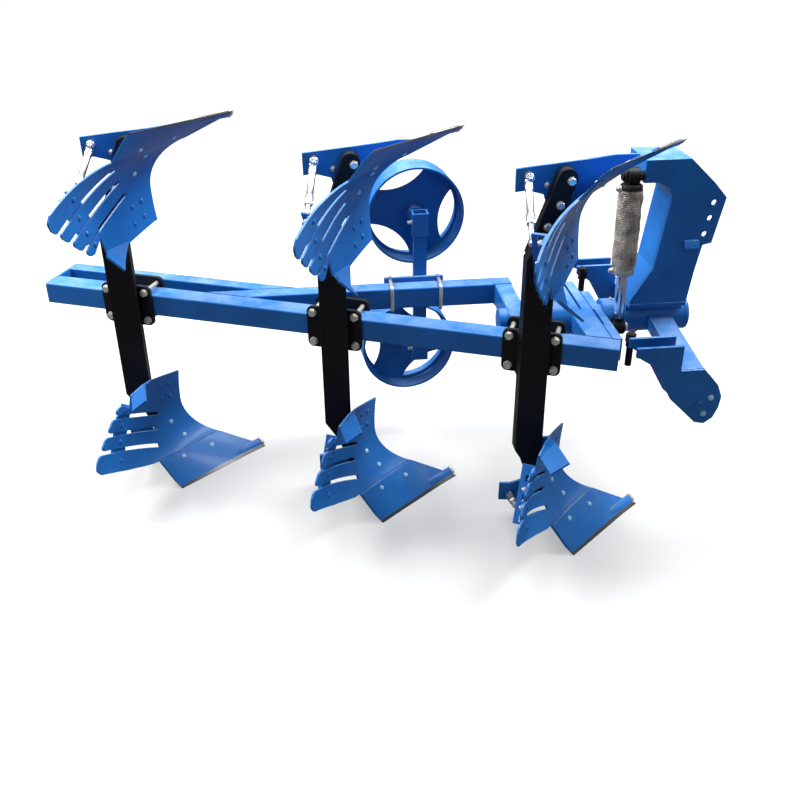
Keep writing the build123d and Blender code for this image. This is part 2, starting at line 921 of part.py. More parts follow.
def make_link_pin():
    x, z = link_pin_at
    length = 2 * clevis_plate + clevis_gap
    far_end = clevis_outer + length
    pin = bar_along_y(link_pin_radius, clevis_outer, far_end, x, z)
    head = bar_along_y(link_pin_head_radius, clevis_outer - link_pin_head, clevis_outer, x, z)
    tail = bar_along_y(link_pin_head_radius, far_end, far_end + link_pin_head, x, z)
    return pin + head + tail


def make_stop_screw():
    """Stop screw on the clevis's inner side."""
    y = axis_y - stop_reach
    inner = clevis_outer + 2 * clevis_plate + clevis_gap
    screw = Pos(stop_x, y, 0) * Cylinder(stop_radius, 2 * stop_half)
    reach = stop_radius + stop_block_wall
    block = span_box(clevis_rear_x, stop_x + reach, inner, y + reach, stop_block_low, stop_block_high)
    return screw + block


# Turnover cylinder

def cylinder_place():
    """Axes of the cylinder: origin at the crank pin, local Z up to the tower's pin."""
    path = (0, cylinder_top[0] - crank_y, cylinder_top[1])
    return Plane(origin=(cylinder_x, crank_y, 0), x_dir=(1, 0, 0), z_dir=path)


cylinder_run = hypot(cylinder_top[0] - crank_y, cylinder_top[1])


def make_crank_pin():
    """Pin on the frame's end that the rod's eye turns on, with its washer."""
    washer_x = cylinder_x + eye_width / 2 + cylinder_pin_gap
    pin = bar_along_x(cylinder_pin_radius, frame_front_x, washer_x, crank_y, 0)
    washer = bar_along_x(pin_washer_radius, washer_x, washer_x + pin_washer, crank_y, 0)
    return pin + washer


def make_rod_eye():
    eye = bar_along_x(eye_radius, -eye_width / 2, eye_width / 2, 0, 0)
    neck = extrude(Circle(eye_width / 2), amount=eye_neck)
    bore = bar_along_x(cylinder_pin_radius + running_clearance, -eye_width, eye_width, 0, 0)
    return cylinder_place() * ((eye + neck) - bore)


def make_rod():
    rod = Pos(0, 0, eye_neck) * extrude(Circle(rod_radius), amount=rod_length - eye_neck)
    return cylinder_place() * rod


def make_barrel():
    """Barrel with its gland collar and the eye at the tower's pin."""
    body = Pos(0, 0, barrel_low) * extrude(Circle(barrel_radius), amount=barrel_high - barrel_low)
    collar = Pos(0, 0, barrel_low) * extrude(Circle(collar_radius), amount=collar_length)
    bore = Pos(0, 0, barrel_low) * extrude(
        Circle(rod_radius + running_clearance), amount=barrel_bore_floor - barrel_low
    )
    return cylinder_place() * ((body + collar) - bore)


def make_barrel_eye():
    """Eye of the barrel, with its pin reaching to the tower."""
    eye = bar_along_x(eye_radius, -eye_width / 2, eye_width / 2, 0, 0)
    pin_end = tower_rear_x - cylinder_pin_gap - cylinder_x
    pin = bar_along_x(cylinder_pin_radius, -eye_width / 2 - pin_washer, pin_end, 0, 0)
    neck_length = cylinder_run - barrel_high
    neck = Pos(0, 0, -neck_length) * extrude(Circle(eye_width / 2), amount=neck_length)
    return cylinder_place() * (Pos(0, 0, cylinder_run) * (eye + pin + neck))


nodes = {}


def make_all():
    nodes["main_beam"] = make_main_beam()
    nodes["rear_beam"] = make_rear_beam()
    nodes["rear_plate"] = make_rear_plate()
    nodes["wheel_beam"] = make_wheel_beam()
    nodes["rear_cross_member"] = make_rear_member()
    nodes["front_cross_member"] = make_front_member()
    nodes["front_flange"] = make_front_flange()
    nodes["pivot_tube"] = make_pivot_tube()
    nodes["turnover_shaft"] = make_turnover_shaft()

    leg = make_leg()
    clamp = make_clamp(leg)
    bolts = make_clamp_bolts()
    lower_set = {
        "moldboard": make_moldboard(),
        "share": make_share(),
        "frog": make_frog(),
        "heel": make_heel(),
        "tail_bar": make_tail_bar(),
        "stay": make_stay(),
    }
    shared = {"heel": [], "tail_bar": [], "stay": []}
    clamp_solids = []
    rear_member = nodes["rear_cross_member"]
    bolt_solids = []
    for station in leg_stations:
        nodes[f"leg_{station}"] = at_station(leg, station)
        clamp_solids.extend((at_station(clamp, station) - rear_member).solids())
        bolt_solids.extend(at_station(bolt, station) for bolt in bolts)
        for kind, piece in lower_set.items():
            for side, made in (("lower", piece), ("upper", upper(piece))):
                placed = at_station(made, station)
                if kind in shared:
                    shared[kind].extend(placed.solids())
                else:
                    nodes[f"{kind}_{station}_{side}"] = placed
    nodes["leg_clamps"] = Compound(clamp_solids)
    nodes["clamp_bolts"] = Compound(bolt_solids)
    for kind, solids in shared.items():
        nodes[f"{kind}s"] = Compound(solids)

    for side in ("upper", "lower"):
        nodes[f"wheel_{side}"] = make_wheel(side)
        nodes[f"wheel_sleeve_{side}"] = make_sleeve(side)
    nodes["wheel_post"] = make_wheel_post()
    nodes["wheel_clamp"] = make_wheel_clamp()
    nodes["u_bolts"] = Compound(make_ubolts())

    nodes["tower_plate_right"] = make_tower_plate(tower_near)
    nodes["tower_plate_left"] = make_tower_plate(tower_far - tower_plate)
    nodes["tower_webs"] = make_tower_webs()
    nodes["tower_saddle"] = make_saddle()
    nodes["bearing_tube"] = make_bearing_tube()
    plates = make_clevis()
    nodes["clevis_right"] = Compound(plates)
    nodes["clevis_left"] = Compound([left_side(plate) for plate in plates])
    nodes["cross_bars"] = Compound([cross_bar(), left_side(cross_bar())])
    nodes["link_pins"] = Compound([make_link_pin(), left_side(make_link_pin())])
    nodes["stop_screws"] = Compound([make_stop_screw(), left_side(make_stop_screw())])

    nodes["crank_pin"] = make_crank_pin()
    nodes["rod_eye"] = make_rod_eye()
    nodes["piston_rod"] = make_rod()
    nodes["cylinder_barrel"] = make_barrel()
    nodes["barrel_eye"] = make_barrel_eye()


make_all()
bounds = Compound([solid for part in nodes.values() for solid in part.solids()]).bounding_box()
footprint = (bounds.min + bounds.max) / 2
origin = Pos(-footprint.X, -footprint.Y, -bounds.min.Z)

for name, part in nodes.items():
    export_step(Compound((origin * part).solids()), f"parts/{name}.step")
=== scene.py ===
import json
import math
import bpy
from mathutils import Matrix, Vector, noise


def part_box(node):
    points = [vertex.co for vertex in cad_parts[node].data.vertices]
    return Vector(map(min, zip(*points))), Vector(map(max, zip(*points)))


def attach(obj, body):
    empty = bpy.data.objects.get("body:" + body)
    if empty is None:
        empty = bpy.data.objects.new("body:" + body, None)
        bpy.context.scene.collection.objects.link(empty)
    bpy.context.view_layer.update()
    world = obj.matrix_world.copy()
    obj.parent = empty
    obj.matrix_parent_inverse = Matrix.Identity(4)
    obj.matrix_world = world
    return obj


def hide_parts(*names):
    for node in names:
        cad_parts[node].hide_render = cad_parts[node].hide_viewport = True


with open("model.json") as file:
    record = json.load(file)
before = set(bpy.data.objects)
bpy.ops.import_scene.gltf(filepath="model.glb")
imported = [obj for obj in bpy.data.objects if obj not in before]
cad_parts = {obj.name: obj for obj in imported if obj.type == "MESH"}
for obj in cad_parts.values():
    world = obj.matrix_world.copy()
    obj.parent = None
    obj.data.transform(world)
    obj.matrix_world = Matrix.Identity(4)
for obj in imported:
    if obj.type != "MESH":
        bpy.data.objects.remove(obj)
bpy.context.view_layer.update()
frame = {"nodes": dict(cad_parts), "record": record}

# The plough is laid out from the middle leg's place on the main beam's centre line
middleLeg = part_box("leg_middle")
legToBeam = Vector((0.084, 0.129, 0.0))
legMiddle = (middleLeg[0].z + middleLeg[1].z) / 2
beamOrigin = Vector((middleLeg[0].x, middleLeg[0].y, legMiddle)) + legToBeam
stations = {name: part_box("leg_" + name)[0] - middleLeg[0] for name in ("rear", "middle", "front")}
allBodies = [(station, side) for station in stations for side in ("lower", "upper")]
beamTurn = math.radians(22.0)
boardTurn = math.radians(61.3)
boardForward = Vector((math.sin(boardTurn), -math.cos(boardTurn), 0))
boardCorner = (0.110, -0.060)  # where the boards are measured from


def placed(x, y, z, station="middle"):
    # a place forward, left and above the beam's middle at a leg
    return beamOrigin + Vector((x, y, z)) + stations[station]


def onBeam(u, v, z, station):
    # a place along and across the main beam
    x = u * math.cos(beamTurn) + v * math.sin(beamTurn)
    y = v * math.cos(beamTurn) - u * math.sin(beamTurn)
    return placed(x, y, z, station)


def overUnder(side):
    return -1 if side == "lower" else 1


def addObject(name, data):
    added = bpy.data.objects.new(name, data)
    bpy.context.scene.collection.objects.link(added)
    return added


def boardPlace(w, d, m, station, side):
    # a place on a plough body: across the board, away from the beam, forward of the board
    x = boardCorner[0] - w * math.cos(boardTurn) + m * math.sin(boardTurn)
    y = boardCorner[1] - w * math.sin(boardTurn) - m * math.cos(boardTurn)
    return placed(x, y, overUnder(side) * d, station)


# Shader nodes

def feed(node, values):
    # each value is a number or colour for an input, or another node's output
    for key, value in values.items():
        if isinstance(value, bpy.types.NodeSocket):
            node.id_data.links.new(value, node.inputs[key])
        else:
            node.inputs[key].default_value = value


def addNode(tree, kind, values={}, **settings):
    node = tree.nodes.new("ShaderNode" + kind)
    for key, value in settings.items():
        setattr(node, key, value)
    feed(node, values)
    return node.outputs


def addMath(tree, operation, first, second, **settings):
    return addNode(tree, "Math", {0: first, 1: second}, operation=operation, **settings)[0]


def spreadOut(tree, value, given=(0.0, 1.0), wanted=(0.0, 1.0)):
    # one range of values stretched to another
    labels = ("Value", "From Min", "From Max", "To Min", "To Max")
    return addNode(tree, "MapRange", dict(zip(labels, (value, *given, *wanted))))["Result"]


def onPiece(tree, output="Object"):
    # a piece's own coordinates
    return addNode(tree, "TexCoord")[output]


def addNoise(tree, **values):
    return addNode(tree, "TexNoise", {"Vector": onPiece(tree), **values})["Fac"]


def blendColours(tree, mask, under, over):
    # one colour laid over another by a mask; inputs 6 and 7 are the colours
    return addNode(tree, "Mix", {"Factor": mask, 6: under, 7: over}, data_type="RGBA")[2]


def addBump(tree, height, strength, depth, **more):
    values = {"Height": height, "Strength": strength, "Distance": depth, **more}
    return addNode(tree, "Bump", values)["Normal"]


def newMaterial(name, roughness, coat=0.0, metallic=0.0, shine=0.5):
    material = bpy.data.materials.new(name)
    material.use_nodes = True
    shader = material.node_tree.nodes["Principled BSDF"]
    feed(shader, {
        "Roughness": roughness, "Coat Weight": coat, "Coat Roughness": 0.12,
        "Metallic": metallic, "Specular IOR Level": shine,
    })
    return material, material.node_tree, shader


# Camera at the photograph's angle

photoCamera = {
    "place": (-0.1144, -3.6344, 1.7462),  # from the beam's middle
    "yaw": 6.22,
    "pitch": 28.69,
    "roll": -0.37,
    "lens": 41.445,
    "sensor": 36.0,
    "shift": (-0.00446, -0.03755),
    "farthest": 200.0,
}


def addCamera(settings):
    data = bpy.data.cameras.new("photoCamera")
    data.lens = settings["lens"]
    data.sensor_fit = "HORIZONTAL"
    data.sensor_width = settings["sensor"]
    data.shift_x, data.shift_y = settings["shift"]
    data.clip_end = settings["farthest"]
    camera = addObject("photoCamera", data)
    turn = Matrix.Rotation(math.radians(-settings["yaw"]), 4, "Z")
    tilt = Matrix.Rotation(math.radians(90 - settings["pitch"]), 4, "X")
    roll = Matrix.Rotation(math.radians(settings["roll"]), 4, "Z")
    camera.matrix_world = Matrix.Translation(placed(*settings["place"])) @ turn @ tilt @ roll
    bpy.context.scene.camera = camera


studio = {
    "floorSize": 80.0,
    "floorRoughness": 0.9,
    "floorShine": 0.1,
    "floorColour": (0.42, 0.42, 0.42, 1.0),
    "floorBounce": (0.11, 0.11, 0.115, 1.0),  # what the plough gets back from the floor
    "floorGlow": (0.34, 0.85),  # for the camera only: under the plough, far away
    "glowRun": (1.6, 5.5),  # where the glow starts and ends
    "worldColour": (0.93, 0.97, 1.0, 1.0),
    "worldLight": (0.40, 1.1),  # on the plough, and as the camera sees it
    "lamps": (  # name, place, size, power, aims at
        ("topSoftbox", (-0.5, 0.7, 5.0), 3.2, 200.0, (0.0, 0.0, 0.5)),
        ("rightKey", (3.1, 0.7, 4.7), 2.4, 330.0, (0.0, 0.0, 0.5)),
        ("leftKey", (-3.7, 1.2, 4.1), 2.4, 330.0, (0.0, 0.0, 0.4)),
    ),
}


def seenDirectly(tree):
    # a value of 1 for what the camera sees
    return addNode(tree, "LightPath")["Is Camera Ray"]


def addFloor(settings):
    bpy.ops.mesh.primitive_plane_add(size=settings["floorSize"])
    floor = bpy.context.object
    floor.name = "studioFloor"
    material, tree, shader = newMaterial(
        "studioFloor", settings["floorRoughness"], shine=settings["floorShine"]
    )
    seen = seenDirectly(tree)
    paper = blendColours(tree, seen, settings["floorBounce"], settings["floorColour"])
    away = addNode(tree, "VectorMath", {0: onPiece(tree)}, operation="LENGTH")["Value"]
    rise = spreadOut(tree, away, settings["glowRun"], settings["floorGlow"])
    glow = addMath(tree, "MULTIPLY", seen, rise)
    feed(shader, {"Base Color": paper, "Emission Color": (1, 1, 1, 1), "Emission Strength": glow})
    floor.data.materials.append(material)


def addLight(settings):
    world = bpy.data.worlds.new("studioWorld")
    world.use_nodes = True
    tree = world.node_tree
    strength = spreadOut(tree, seenDirectly(tree), wanted=settings["worldLight"])
    feed(tree.nodes["Background"], {"Color": settings["worldColour"], "Strength": strength})
    bpy.context.scene.world = world
    for name, place, size, power, aim in settings["lamps"]:
        data = bpy.data.lights.new(name, "AREA")
        data.shape = "DISK"
        data.size, data.energy = size, power
        lamp = addObject(name, data)
        lamp.location = place
        lamp.rotation_euler = (Vector(aim) - Vector(place)).to_track_quat("-Z", "Y").to_euler()


addCamera(photoCamera)
addFloor(studio)
addLight(studio)
bpy.context.scene.view_settings.view_transform = "Standard"
print("camera and studio")


# Shared effects

effectLooks = {
    "edge": (0.99, 0.8),  # turn of a rounded edge from its face
    "edgeGrain": {"Detail": 4.0, "Roughness": 0.65},
    "edgePatches": (0.45, 0.62),
    "cloud": {"Detail": 5.0, "Roughness": 0.55, "Distortion": 0.3},
    "cloudRange": (0.32, 0.68),
    "dustAndSheenLevel": (0.72, 1.0),  # how level a face is before settled dust and painted sheen of lit tops lie on it
    "dustAndSheenPatches": {"Detail": 6.0, "Roughness": 0.7},
    "dustAndSheenRange": (0.35, 0.75),
    "lineStretch": {"Scale": (1.0, 1.0, 0.06), "Rotation": (0.4, 0.25, 0.0)},
    "lines": {"Detail": 3.0, "Roughness": 0.6},
}


def makeEffect(name, inputs, outputs):
    # an empty effect group with named inputs and outputs
    effect = bpy.data.node_groups.new(name, "ShaderNodeTree")
    for label, value in inputs:
        socket = effect.interface.new_socket(label, in_out="INPUT", socket_type="NodeSocketFloat")
        socket.default_value = value
    for label, kind in outputs:
        effect.interface.new_socket(label, in_out="OUTPUT", socket_type="NodeSocket" + kind)
    return effect, effect.nodes.new("NodeGroupInput").outputs, effect.nodes.new("NodeGroupOutput")


def makeEdgeWear(looks):
    # rounded-looking edges and a mask of the paint rubbed along them
    effect, given, result = makeEffect(
        "edgeWear", (("Width", 0.003), ("Grain", 60.0)), (("Mask", "Float"), ("Normal", "Vector"))
    )
    rounded = addNode(effect, "Bevel", {"Radius": given["Width"]}, samples=4)["Normal"]
    flat = addNode(effect, "NewGeometry")["Normal"]
    facing = addNode(effect, "VectorMath", {0: rounded, 1: flat}, operation="DOT_PRODUCT")
    edge = spreadOut(effect, facing["Value"], looks["edge"])
    grain = addNoise(effect, Scale=given["Grain"], **looks["edgeGrain"])
    patchy = spreadOut(effect, grain, looks["edgePatches"])
    feed(result, {"Mask": addMath(effect, "MULTIPLY", edge, patchy), "Normal": rounded})
    return effect


def makeDrift(looks):
    # slow change over a surface, with a finer cloud over it
    effect, given, result = makeEffect("drift", (("Scale", 3.0),), (("Value", "Float"),))
    cloud = addNoise(effect, Scale=given["Scale"], **looks["cloud"])
    feed(result, {"Value": spreadOut(effect, cloud, looks["cloudRange"])})
    return effect


def makeDustAndSheen(looks):
    # dust that settles on what faces up, which is also a painted sheen: tops made paler as if lit
    # from above
    effect, given, result = makeEffect(
        "settledDustAndSheen", (("Scale", 9.0), ("Amount", 0.4)), (("Mask", "Float"),)
    )
    up = addNode(effect, "SeparateXYZ", {"Vector": onPiece(effect, "Normal")})["Z"]
    level = spreadOut(effect, up, looks["dustAndSheenLevel"])
    patches = addNoise(effect, Scale=given["Scale"], **looks["dustAndSheenPatches"])
    both = addMath(effect, "MULTIPLY", level, spreadOut(effect, patches, looks["dustAndSheenRange"]))
    feed(result, {"Mask": addMath(effect, "MULTIPLY", both, given["Amount"])})
    return effect


def makeScratches(looks):
    # fine lines drawn one way, for turned, plated and scoured metal
    effect, given, result = makeEffect("scratches", (("Fineness", 700.0),), (("Value", "Float"),))
    stretch = addNode(effect, "Mapping", {"Vector": onPiece(effect), **looks["lineStretch"]})
    values = {"Vector": stretch["Vector"], "Scale": given["Fineness"], **looks["lines"]}
    feed(result, {"Value": addNode(effect, "TexNoise", values)["Fac"]})
    return effect


effects = {
    "edgeWear": makeEdgeWear(effectLooks),
    "drift": makeDrift(effectLooks),
    "dustAndSheen": makeDustAndSheen(effectLooks),
    "scratches": makeScratches(effectLooks),
}


def useEffect(tree, name, **values):
    return addNode(tree, "Group", values, node_tree=effects[name])


# Materials

# each paint's dust colour goes on faces that look up: settled dust, and also a painted sheen where
# the light falls on the tops
paints = {
    "bluePaint": {
        "colour": (0.016, 0.178, 0.570, 1.0), "deep": (0.009, 0.110, 0.385, 1.0),
        "rubbed": (0.14, 0.36, 0.68, 1.0),
        "dustAndSheen": (0.36, 0.49, 0.60, 1.0), "dustAndSheenAmount": 0.5,
        "gloss": (0.26, 0.42), "coat": 0.10, "shine": 0.26,
        "peel": (420.0, 0.00012),  # size and depth of the orange peel
        "edge": 0.003, "drift": 2.3,
    },
    # pale paint for bolt heads: paint rubbed thin, and also painted glints where their tops catch
    # the light
    "wornBlueAndGlint": {
        "colour": (0.48, 0.72, 0.86, 1.0), "deep": (0.26, 0.54, 0.78, 1.0),
        "rubbed": (0.55, 0.62, 0.66, 1.0),
        "dustAndSheen": (0.45, 0.50, 0.52, 1.0), "dustAndSheenAmount": 0.3,
        "gloss": (0.28, 0.45), "coat": 0.0, "shine": 0.5,
        "peel": (500.0, 0.0001),
        "edge": 0.0015, "drift": 40.0,
    },
    "blackPaint": {
        "colour": (0.0075, 0.0070, 0.0085, 1.0), "deep": (0.0135, 0.0120, 0.0135, 1.0),
        "rubbed": (0.06, 0.055, 0.055, 1.0),
        "dustAndSheen": (0.075, 0.070, 0.066, 1.0), "dustAndSheenAmount": 0.3,
        "gloss": (0.34, 0.55), "coat": 0.0, "shine": 0.14,
        "peel": (260.0, 0.0002),
        "edge": 0.003, "drift": 5.0,
    },
}

paintLook = {
    "wearGrain": 45.0,
    "dustAndSheenSize": 7.0,
    "peelDetail": 2.0,
    "peelStrength": 0.6,
}


def addPaint(name, settings, bareEdge=None):
    # sprayed paint; bareEdge says where it gives way to steel along the cutting edges
    gloss = settings["gloss"]
    material, tree, shader = newMaterial(name, gloss[0], settings["coat"], shine=settings["shine"])
    drift = useEffect(tree, "drift", Scale=settings["drift"])["Value"]
    wear = useEffect(tree, "edgeWear", Width=settings["edge"], Grain=paintLook["wearGrain"])
    dustAndSheen = useEffect(tree, "dustAndSheen", Scale=paintLook["dustAndSheenSize"], Amount=settings["dustAndSheenAmount"])["Mask"]
    colour = blendColours(tree, drift, settings["deep"], settings["colour"])
    colour = blendColours(tree, wear["Mask"], colour, settings["rubbed"])
    # paler on upward faces: settled dust, and painted sheen of the light on the tops
    colour = blendColours(tree, dustAndSheen, colour, settings["dustAndSheen"])
    rough = addMath(tree, "ADD", spreadOut(tree, drift, wanted=gloss), dustAndSheen, use_clamp=True)
    peel = addNoise(tree, Scale=settings["peel"][0], Detail=paintLook["peelDetail"])
    relief = addBump(
        tree, peel, paintLook["peelStrength"], settings["peel"][1], Normal=wear["Normal"]
    )
    if bareEdge:
        height = addNode(tree, "SeparateXYZ", {"Vector": onPiece(tree)})["Z"]
        height = addMath(tree, "SUBTRACT", height, bareEdge["middle"])
        height = addNode(tree, "Math", {0: height}, operation="ABSOLUTE")[0]
        ragged = addNoise(tree, **bareEdge["raggedNoise"])
        uneven = addMath(tree, "MULTIPLY", ragged, bareEdge["ragged"])
        limits = (bareEdge["start"], bareEdge["start"] + bareEdge["fade"])
        bare = spreadOut(tree, addMath(tree, "ADD", height, uneven), limits)
        lines = useEffect(tree, "scratches", Fineness=bareEdge["fineness"])["Value"]
        steel = blendColours(tree, lines, bareEdge["steel"], bareEdge["steelLight"])
        colour = blendColours(tree, bare, colour, steel)
        feed(shader, {"Metallic": bare})
    feed(shader, {"Base Color": colour, "Roughness": rough, "Normal": relief})
    return material


metals = {
    "zincPlate": {
        "colour": (0.86, 0.84, 0.77, 1.0), "dull": (0.55, 0.53, 0.47, 1.0),
        "gloss": (0.24, 0.46), "metallic": 0.7, "fineness": 800.0, "depth": 0.00004,
    },
    "silverScrew": {
        "colour": (0.78, 0.79, 0.80, 1.0), "dull": (0.50, 0.51, 0.52, 1.0),
        "gloss": (0.22, 0.40), "metallic": 1.0, "fineness": 500.0, "depth": 0.00005,
    },
    "chromeRod": {
        "colour": (0.80, 0.81, 0.83, 1.0), "dull": (0.62, 0.64, 0.67, 1.0),
        "gloss": (0.05, 0.16), "metallic": 1.0, "fineness": 1500.0, "depth": 0.00001,
    },
    "glandSteel": {
        "colour": (0.62, 0.60, 0.60, 1.0), "dull": (0.38, 0.365, 0.36, 1.0),
        "gloss": (0.30, 0.50), "metallic": 0.7, "fineness": 600.0, "depth": 0.00004,
    },
}
metalLook = {
    "drift": 26.0,
    "edge": 0.0012,
    "edgeGrain": 200.0,
    "lineStrength": 0.5,
}


def addMetal(name, settings):
    gloss = settings["gloss"]
    material, tree, shader = newMaterial(name, gloss[0], metallic=settings["metallic"])
    drift = useEffect(tree, "drift", Scale=metalLook["drift"])["Value"]
    lines = useEffect(tree, "scratches", Fineness=settings["fineness"])["Value"]
    wear = useEffect(tree, "edgeWear", Width=metalLook["edge"], Grain=metalLook["edgeGrain"])
    colour = blendColours(tree, drift, settings["dull"], settings["colour"])
    relief = addBump(
        tree, lines, metalLook["lineStrength"], settings["depth"], Normal=wear["Normal"]
    )
    rough = spreadOut(tree, lines, wanted=gloss)
    feed(shader, {"Base Color": colour, "Roughness": rough, "Normal": relief})
    return material


wrapFilm = {
    "colour": (0.50, 0.43, 0.35, 1.0),
    "shade": (0.12, 0.100, 0.080, 1.0),
    "dustAndSheen": (0.62, 0.61, 0.58, 1.0), "dustAndSheenAmount": 0.5,
    "dustAndSheenSize": 30.0,
    "gloss": (0.14, 0.36),
    "coat": 0.35,
    "drift": 16.0,
    "crease": {"Scale": 60.0, "Detail": 6.0, "Distortion": 1.4},
    "creaseStrength": 0.7,
    "creaseDepth": 0.0020,
}


def addWrap(name, settings):
    # clouded bubble film with creases
    gloss = settings["gloss"]
    material, tree, shader = newMaterial(name, gloss[0], coat=settings["coat"])
    drift = useEffect(tree, "drift", Scale=settings["drift"])["Value"]
    dustAndSheen = useEffect(tree, "dustAndSheen", Scale=settings["dustAndSheenSize"], Amount=settings["dustAndSheenAmount"])
    colour = blendColours(tree, drift, settings["shade"], settings["colour"])
    colour = blendColours(tree, dustAndSheen["Mask"], colour, settings["dustAndSheen"])
    rough = spreadOut(tree, drift, wanted=gloss)
    creases = addNoise(tree, **settings["crease"])
    relief = addBump(tree, creases, settings["creaseStrength"], settings["creaseDepth"])
    feed(shader, {"Base Color": colour, "Roughness": rough, "Normal": relief})
    return material


shareEdge = {
    "middle": beamOrigin.z,
    "start": beamOrigin.z - 0.010,  # distance from the middle where steel shows
    "fade": 0.004,
    "ragged": 0.006,
    "raggedNoise": {"Scale": 38.0, "Detail": 5.0, "Roughness": 0.7},
    "fineness": 500.0,
    "steel": (0.06, 0.058, 0.055, 1.0),
    "steelLight": (0.20, 0.195, 0.19, 1.0),
}
finishes = {
    "blue_paint": addPaint("bluePaint", paints["bluePaint"]),
    "black_paint": addPaint("blackPaint", paints["blackPaint"]),
    "worn": addPaint("wornBlueAndGlint", paints["wornBlueAndGlint"]),
    "share": addPaint("bluePaintWornShare", paints["bluePaint"], shareEdge),
    "zinc": addMetal("zincPlate", metals["zincPlate"]),
    "silver": addMetal("silverScrew", metals["silverScrew"]),
    "chrome": addMetal("chromeRod", metals["chromeRod"]),
    "gland": addMetal("glandSteel", metals["glandSteel"]),
    "wrap": addWrap("bubbleWrap", wrapFilm),
}
nodeFinishes = {"cylinder_barrel": "gland"}
for part in frame["record"]["subparts"]:
    name = part["node"]
    finish = "share" if name.startswith("share_") else nodeFinishes.get(name, part["material_slot"])
    node = frame["nodes"][name]
    node.data.materials.clear()
    node.data.materials.append(finishes[finish])
print("materials")


# Modelling

def deselectAll():
    if bpy.context.object and bpy.context.object.mode != "OBJECT":
        bpy.ops.object.mode_set(mode="OBJECT")
    bpy.ops.object.select_all(action="DESELECT")


def pick(piece):
    deselectAll()
    piece.select_set(True)
    bpy.context.view_layer.objects.active = piece


def applyModifier(piece, kind, **values):
    pick(piece)
    modifier = piece.modifiers.new(kind.title(), kind)
    for key, value in values.items():
        setattr(modifier, key, value)
    bpy.ops.object.modifier_apply(modifier=modifier.name)
    return piece


def turnedPiece(name, rows, sides):
    # a turned shape about local Z, drawn out from a disc by (radius, height) rows
    deselectAll()
    radius, height = rows[0]
    bpy.ops.mesh.primitive_circle_add(
        vertices=sides, radius=radius, fill_type="NGON", location=(0, 0, height)
    )
    piece = bpy.context.object
    piece.name = name
    bpy.ops.object.transform_apply(location=True)
    bpy.ops.object.mode_set(mode="EDIT")
    for nextRadius, nextHeight in rows[1:]:
        bpy.ops.mesh.extrude_region_move(
            TRANSFORM_OT_translate={"value": (0, 0, nextHeight - height)}
        )
        grow = nextRadius / radius
        bpy.ops.transform.resize(value=(grow, grow, 1.0), center_override=(0, 0, nextHeight))
        radius, height = nextRadius, nextHeight
    bpy.ops.object.mode_set(mode="OBJECT")
    return faceOutwards(piece)


def faceOutwards(piece, merge=None):
    # doubles merged where asked, and every face turned outwards
    pick(piece)
    bpy.ops.object.mode_set(mode="EDIT")
    bpy.ops.mesh.select_all(action="SELECT")
    if merge:
        bpy.ops.mesh.remove_doubles(threshold=merge)
    bpy.ops.mesh.normals_make_consistent(inside=False)
    bpy.ops.object.mode_set(mode="OBJECT")
    return piece


def joinPieces(name, pieces):
    deselectAll()
    for piece in pieces:
        piece.select_set(True)
    bpy.context.view_layer.objects.active = pieces[0]
    bpy.ops.object.join()
    joined = bpy.context.object
    joined.name = name
    return joined


def turnedSet(name, *shapes):
    # turned shapes on one line, each given as its rows and its number of sides
    return joinPieces(name, [turnedPiece(name, rows, sides) for rows, sides in shapes])


def copyPiece(piece, place):
    # a copy with its own mesh, set in place
    copied = piece.copy()
    copied.data = piece.data.copy()
    copied.data.transform(place)
    bpy.context.scene.collection.objects.link(copied)
    return copied


def seat(place, axis, turn=0.0):
    # the place of a piece whose local Z runs along an axis
    facing = Vector(axis).to_track_quat("Z", "Y").to_matrix().to_4x4()
    return Matrix.Translation(place) @ facing @ Matrix.Rotation(turn, 4, "Z")


def repeatPiece(name, template, places):
    # one piece of many copies; the template goes
    copies = [copyPiece(template, place) for place in places]
    bpy.data.objects.remove(template)
    return joinPieces(name, copies)


def finishPiece(piece, finish, body="plough_frame", slot=None, replaced=(), angle=35.0):
    pick(piece)
    bpy.ops.object.transform_apply(location=True, rotation=True, scale=True)
    piece.data.materials.clear()
    piece.data.materials.append(finishes[finish])
    bpy.ops.object.shade_smooth_by_angle(angle=math.radians(angle))
    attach(piece, body)
    if replaced:
        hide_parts(*replaced)


def finishCopies(name, template, places, *finish, **more):
    finishPiece(repeatPiece(name, template, places), *finish, **more)


def hexHead(acrossFlats, height, start=0.0, chamfer=0.12, crown=0.9):
    # a chamfered hexagon, as rows and sides
    corner = acrossFlats / math.sqrt(3)
    cut = height * chamfer
    return ((corner, start), (corner, start + height - cut), (corner * crown, start + height)), 6


def screwThread(radius, start, length, pitch, sides, root=0.9, end=0.82):
    # a screw's end as close rings, as rows and sides
    rows = [(radius, start)]
    for step in range(1, int(length / pitch)):
        low = start + step * pitch
        rows += [(radius * root, low - pitch * 0.5), (radius, low)]
    rows.append((radius * end, start + length))
    return rows, sides


def rodAlong(name, points, radius, sides):
    # a bent round bar along points, made a mesh
    curve = bpy.data.curves.new(name, "CURVE")
    curve.dimensions = "3D"
    curve.bevel_depth = radius
    curve.bevel_resolution = sides // 4
    curve.use_fill_caps = True
    line = curve.splines.new("POLY")
    line.points.add(len(points) - 1)
    for point, place in zip(line.points, points):
        point.co = (*place, 1.0)
    pick(addObject(name, curve))
    bpy.ops.object.convert(target="MESH")
    return bpy.context.object


def roundCorner(before, corner, after, radius, steps=6):
    # points of a bend between two straight runs
    start = corner + (before - corner).normalized() * radius
    end = corner + (after - corner).normalized() * radius
    points = []
    for step in range(steps + 1):
        part = step / steps
        points.append(start.lerp(corner, part).lerp(corner.lerp(end, part), part))
    return points


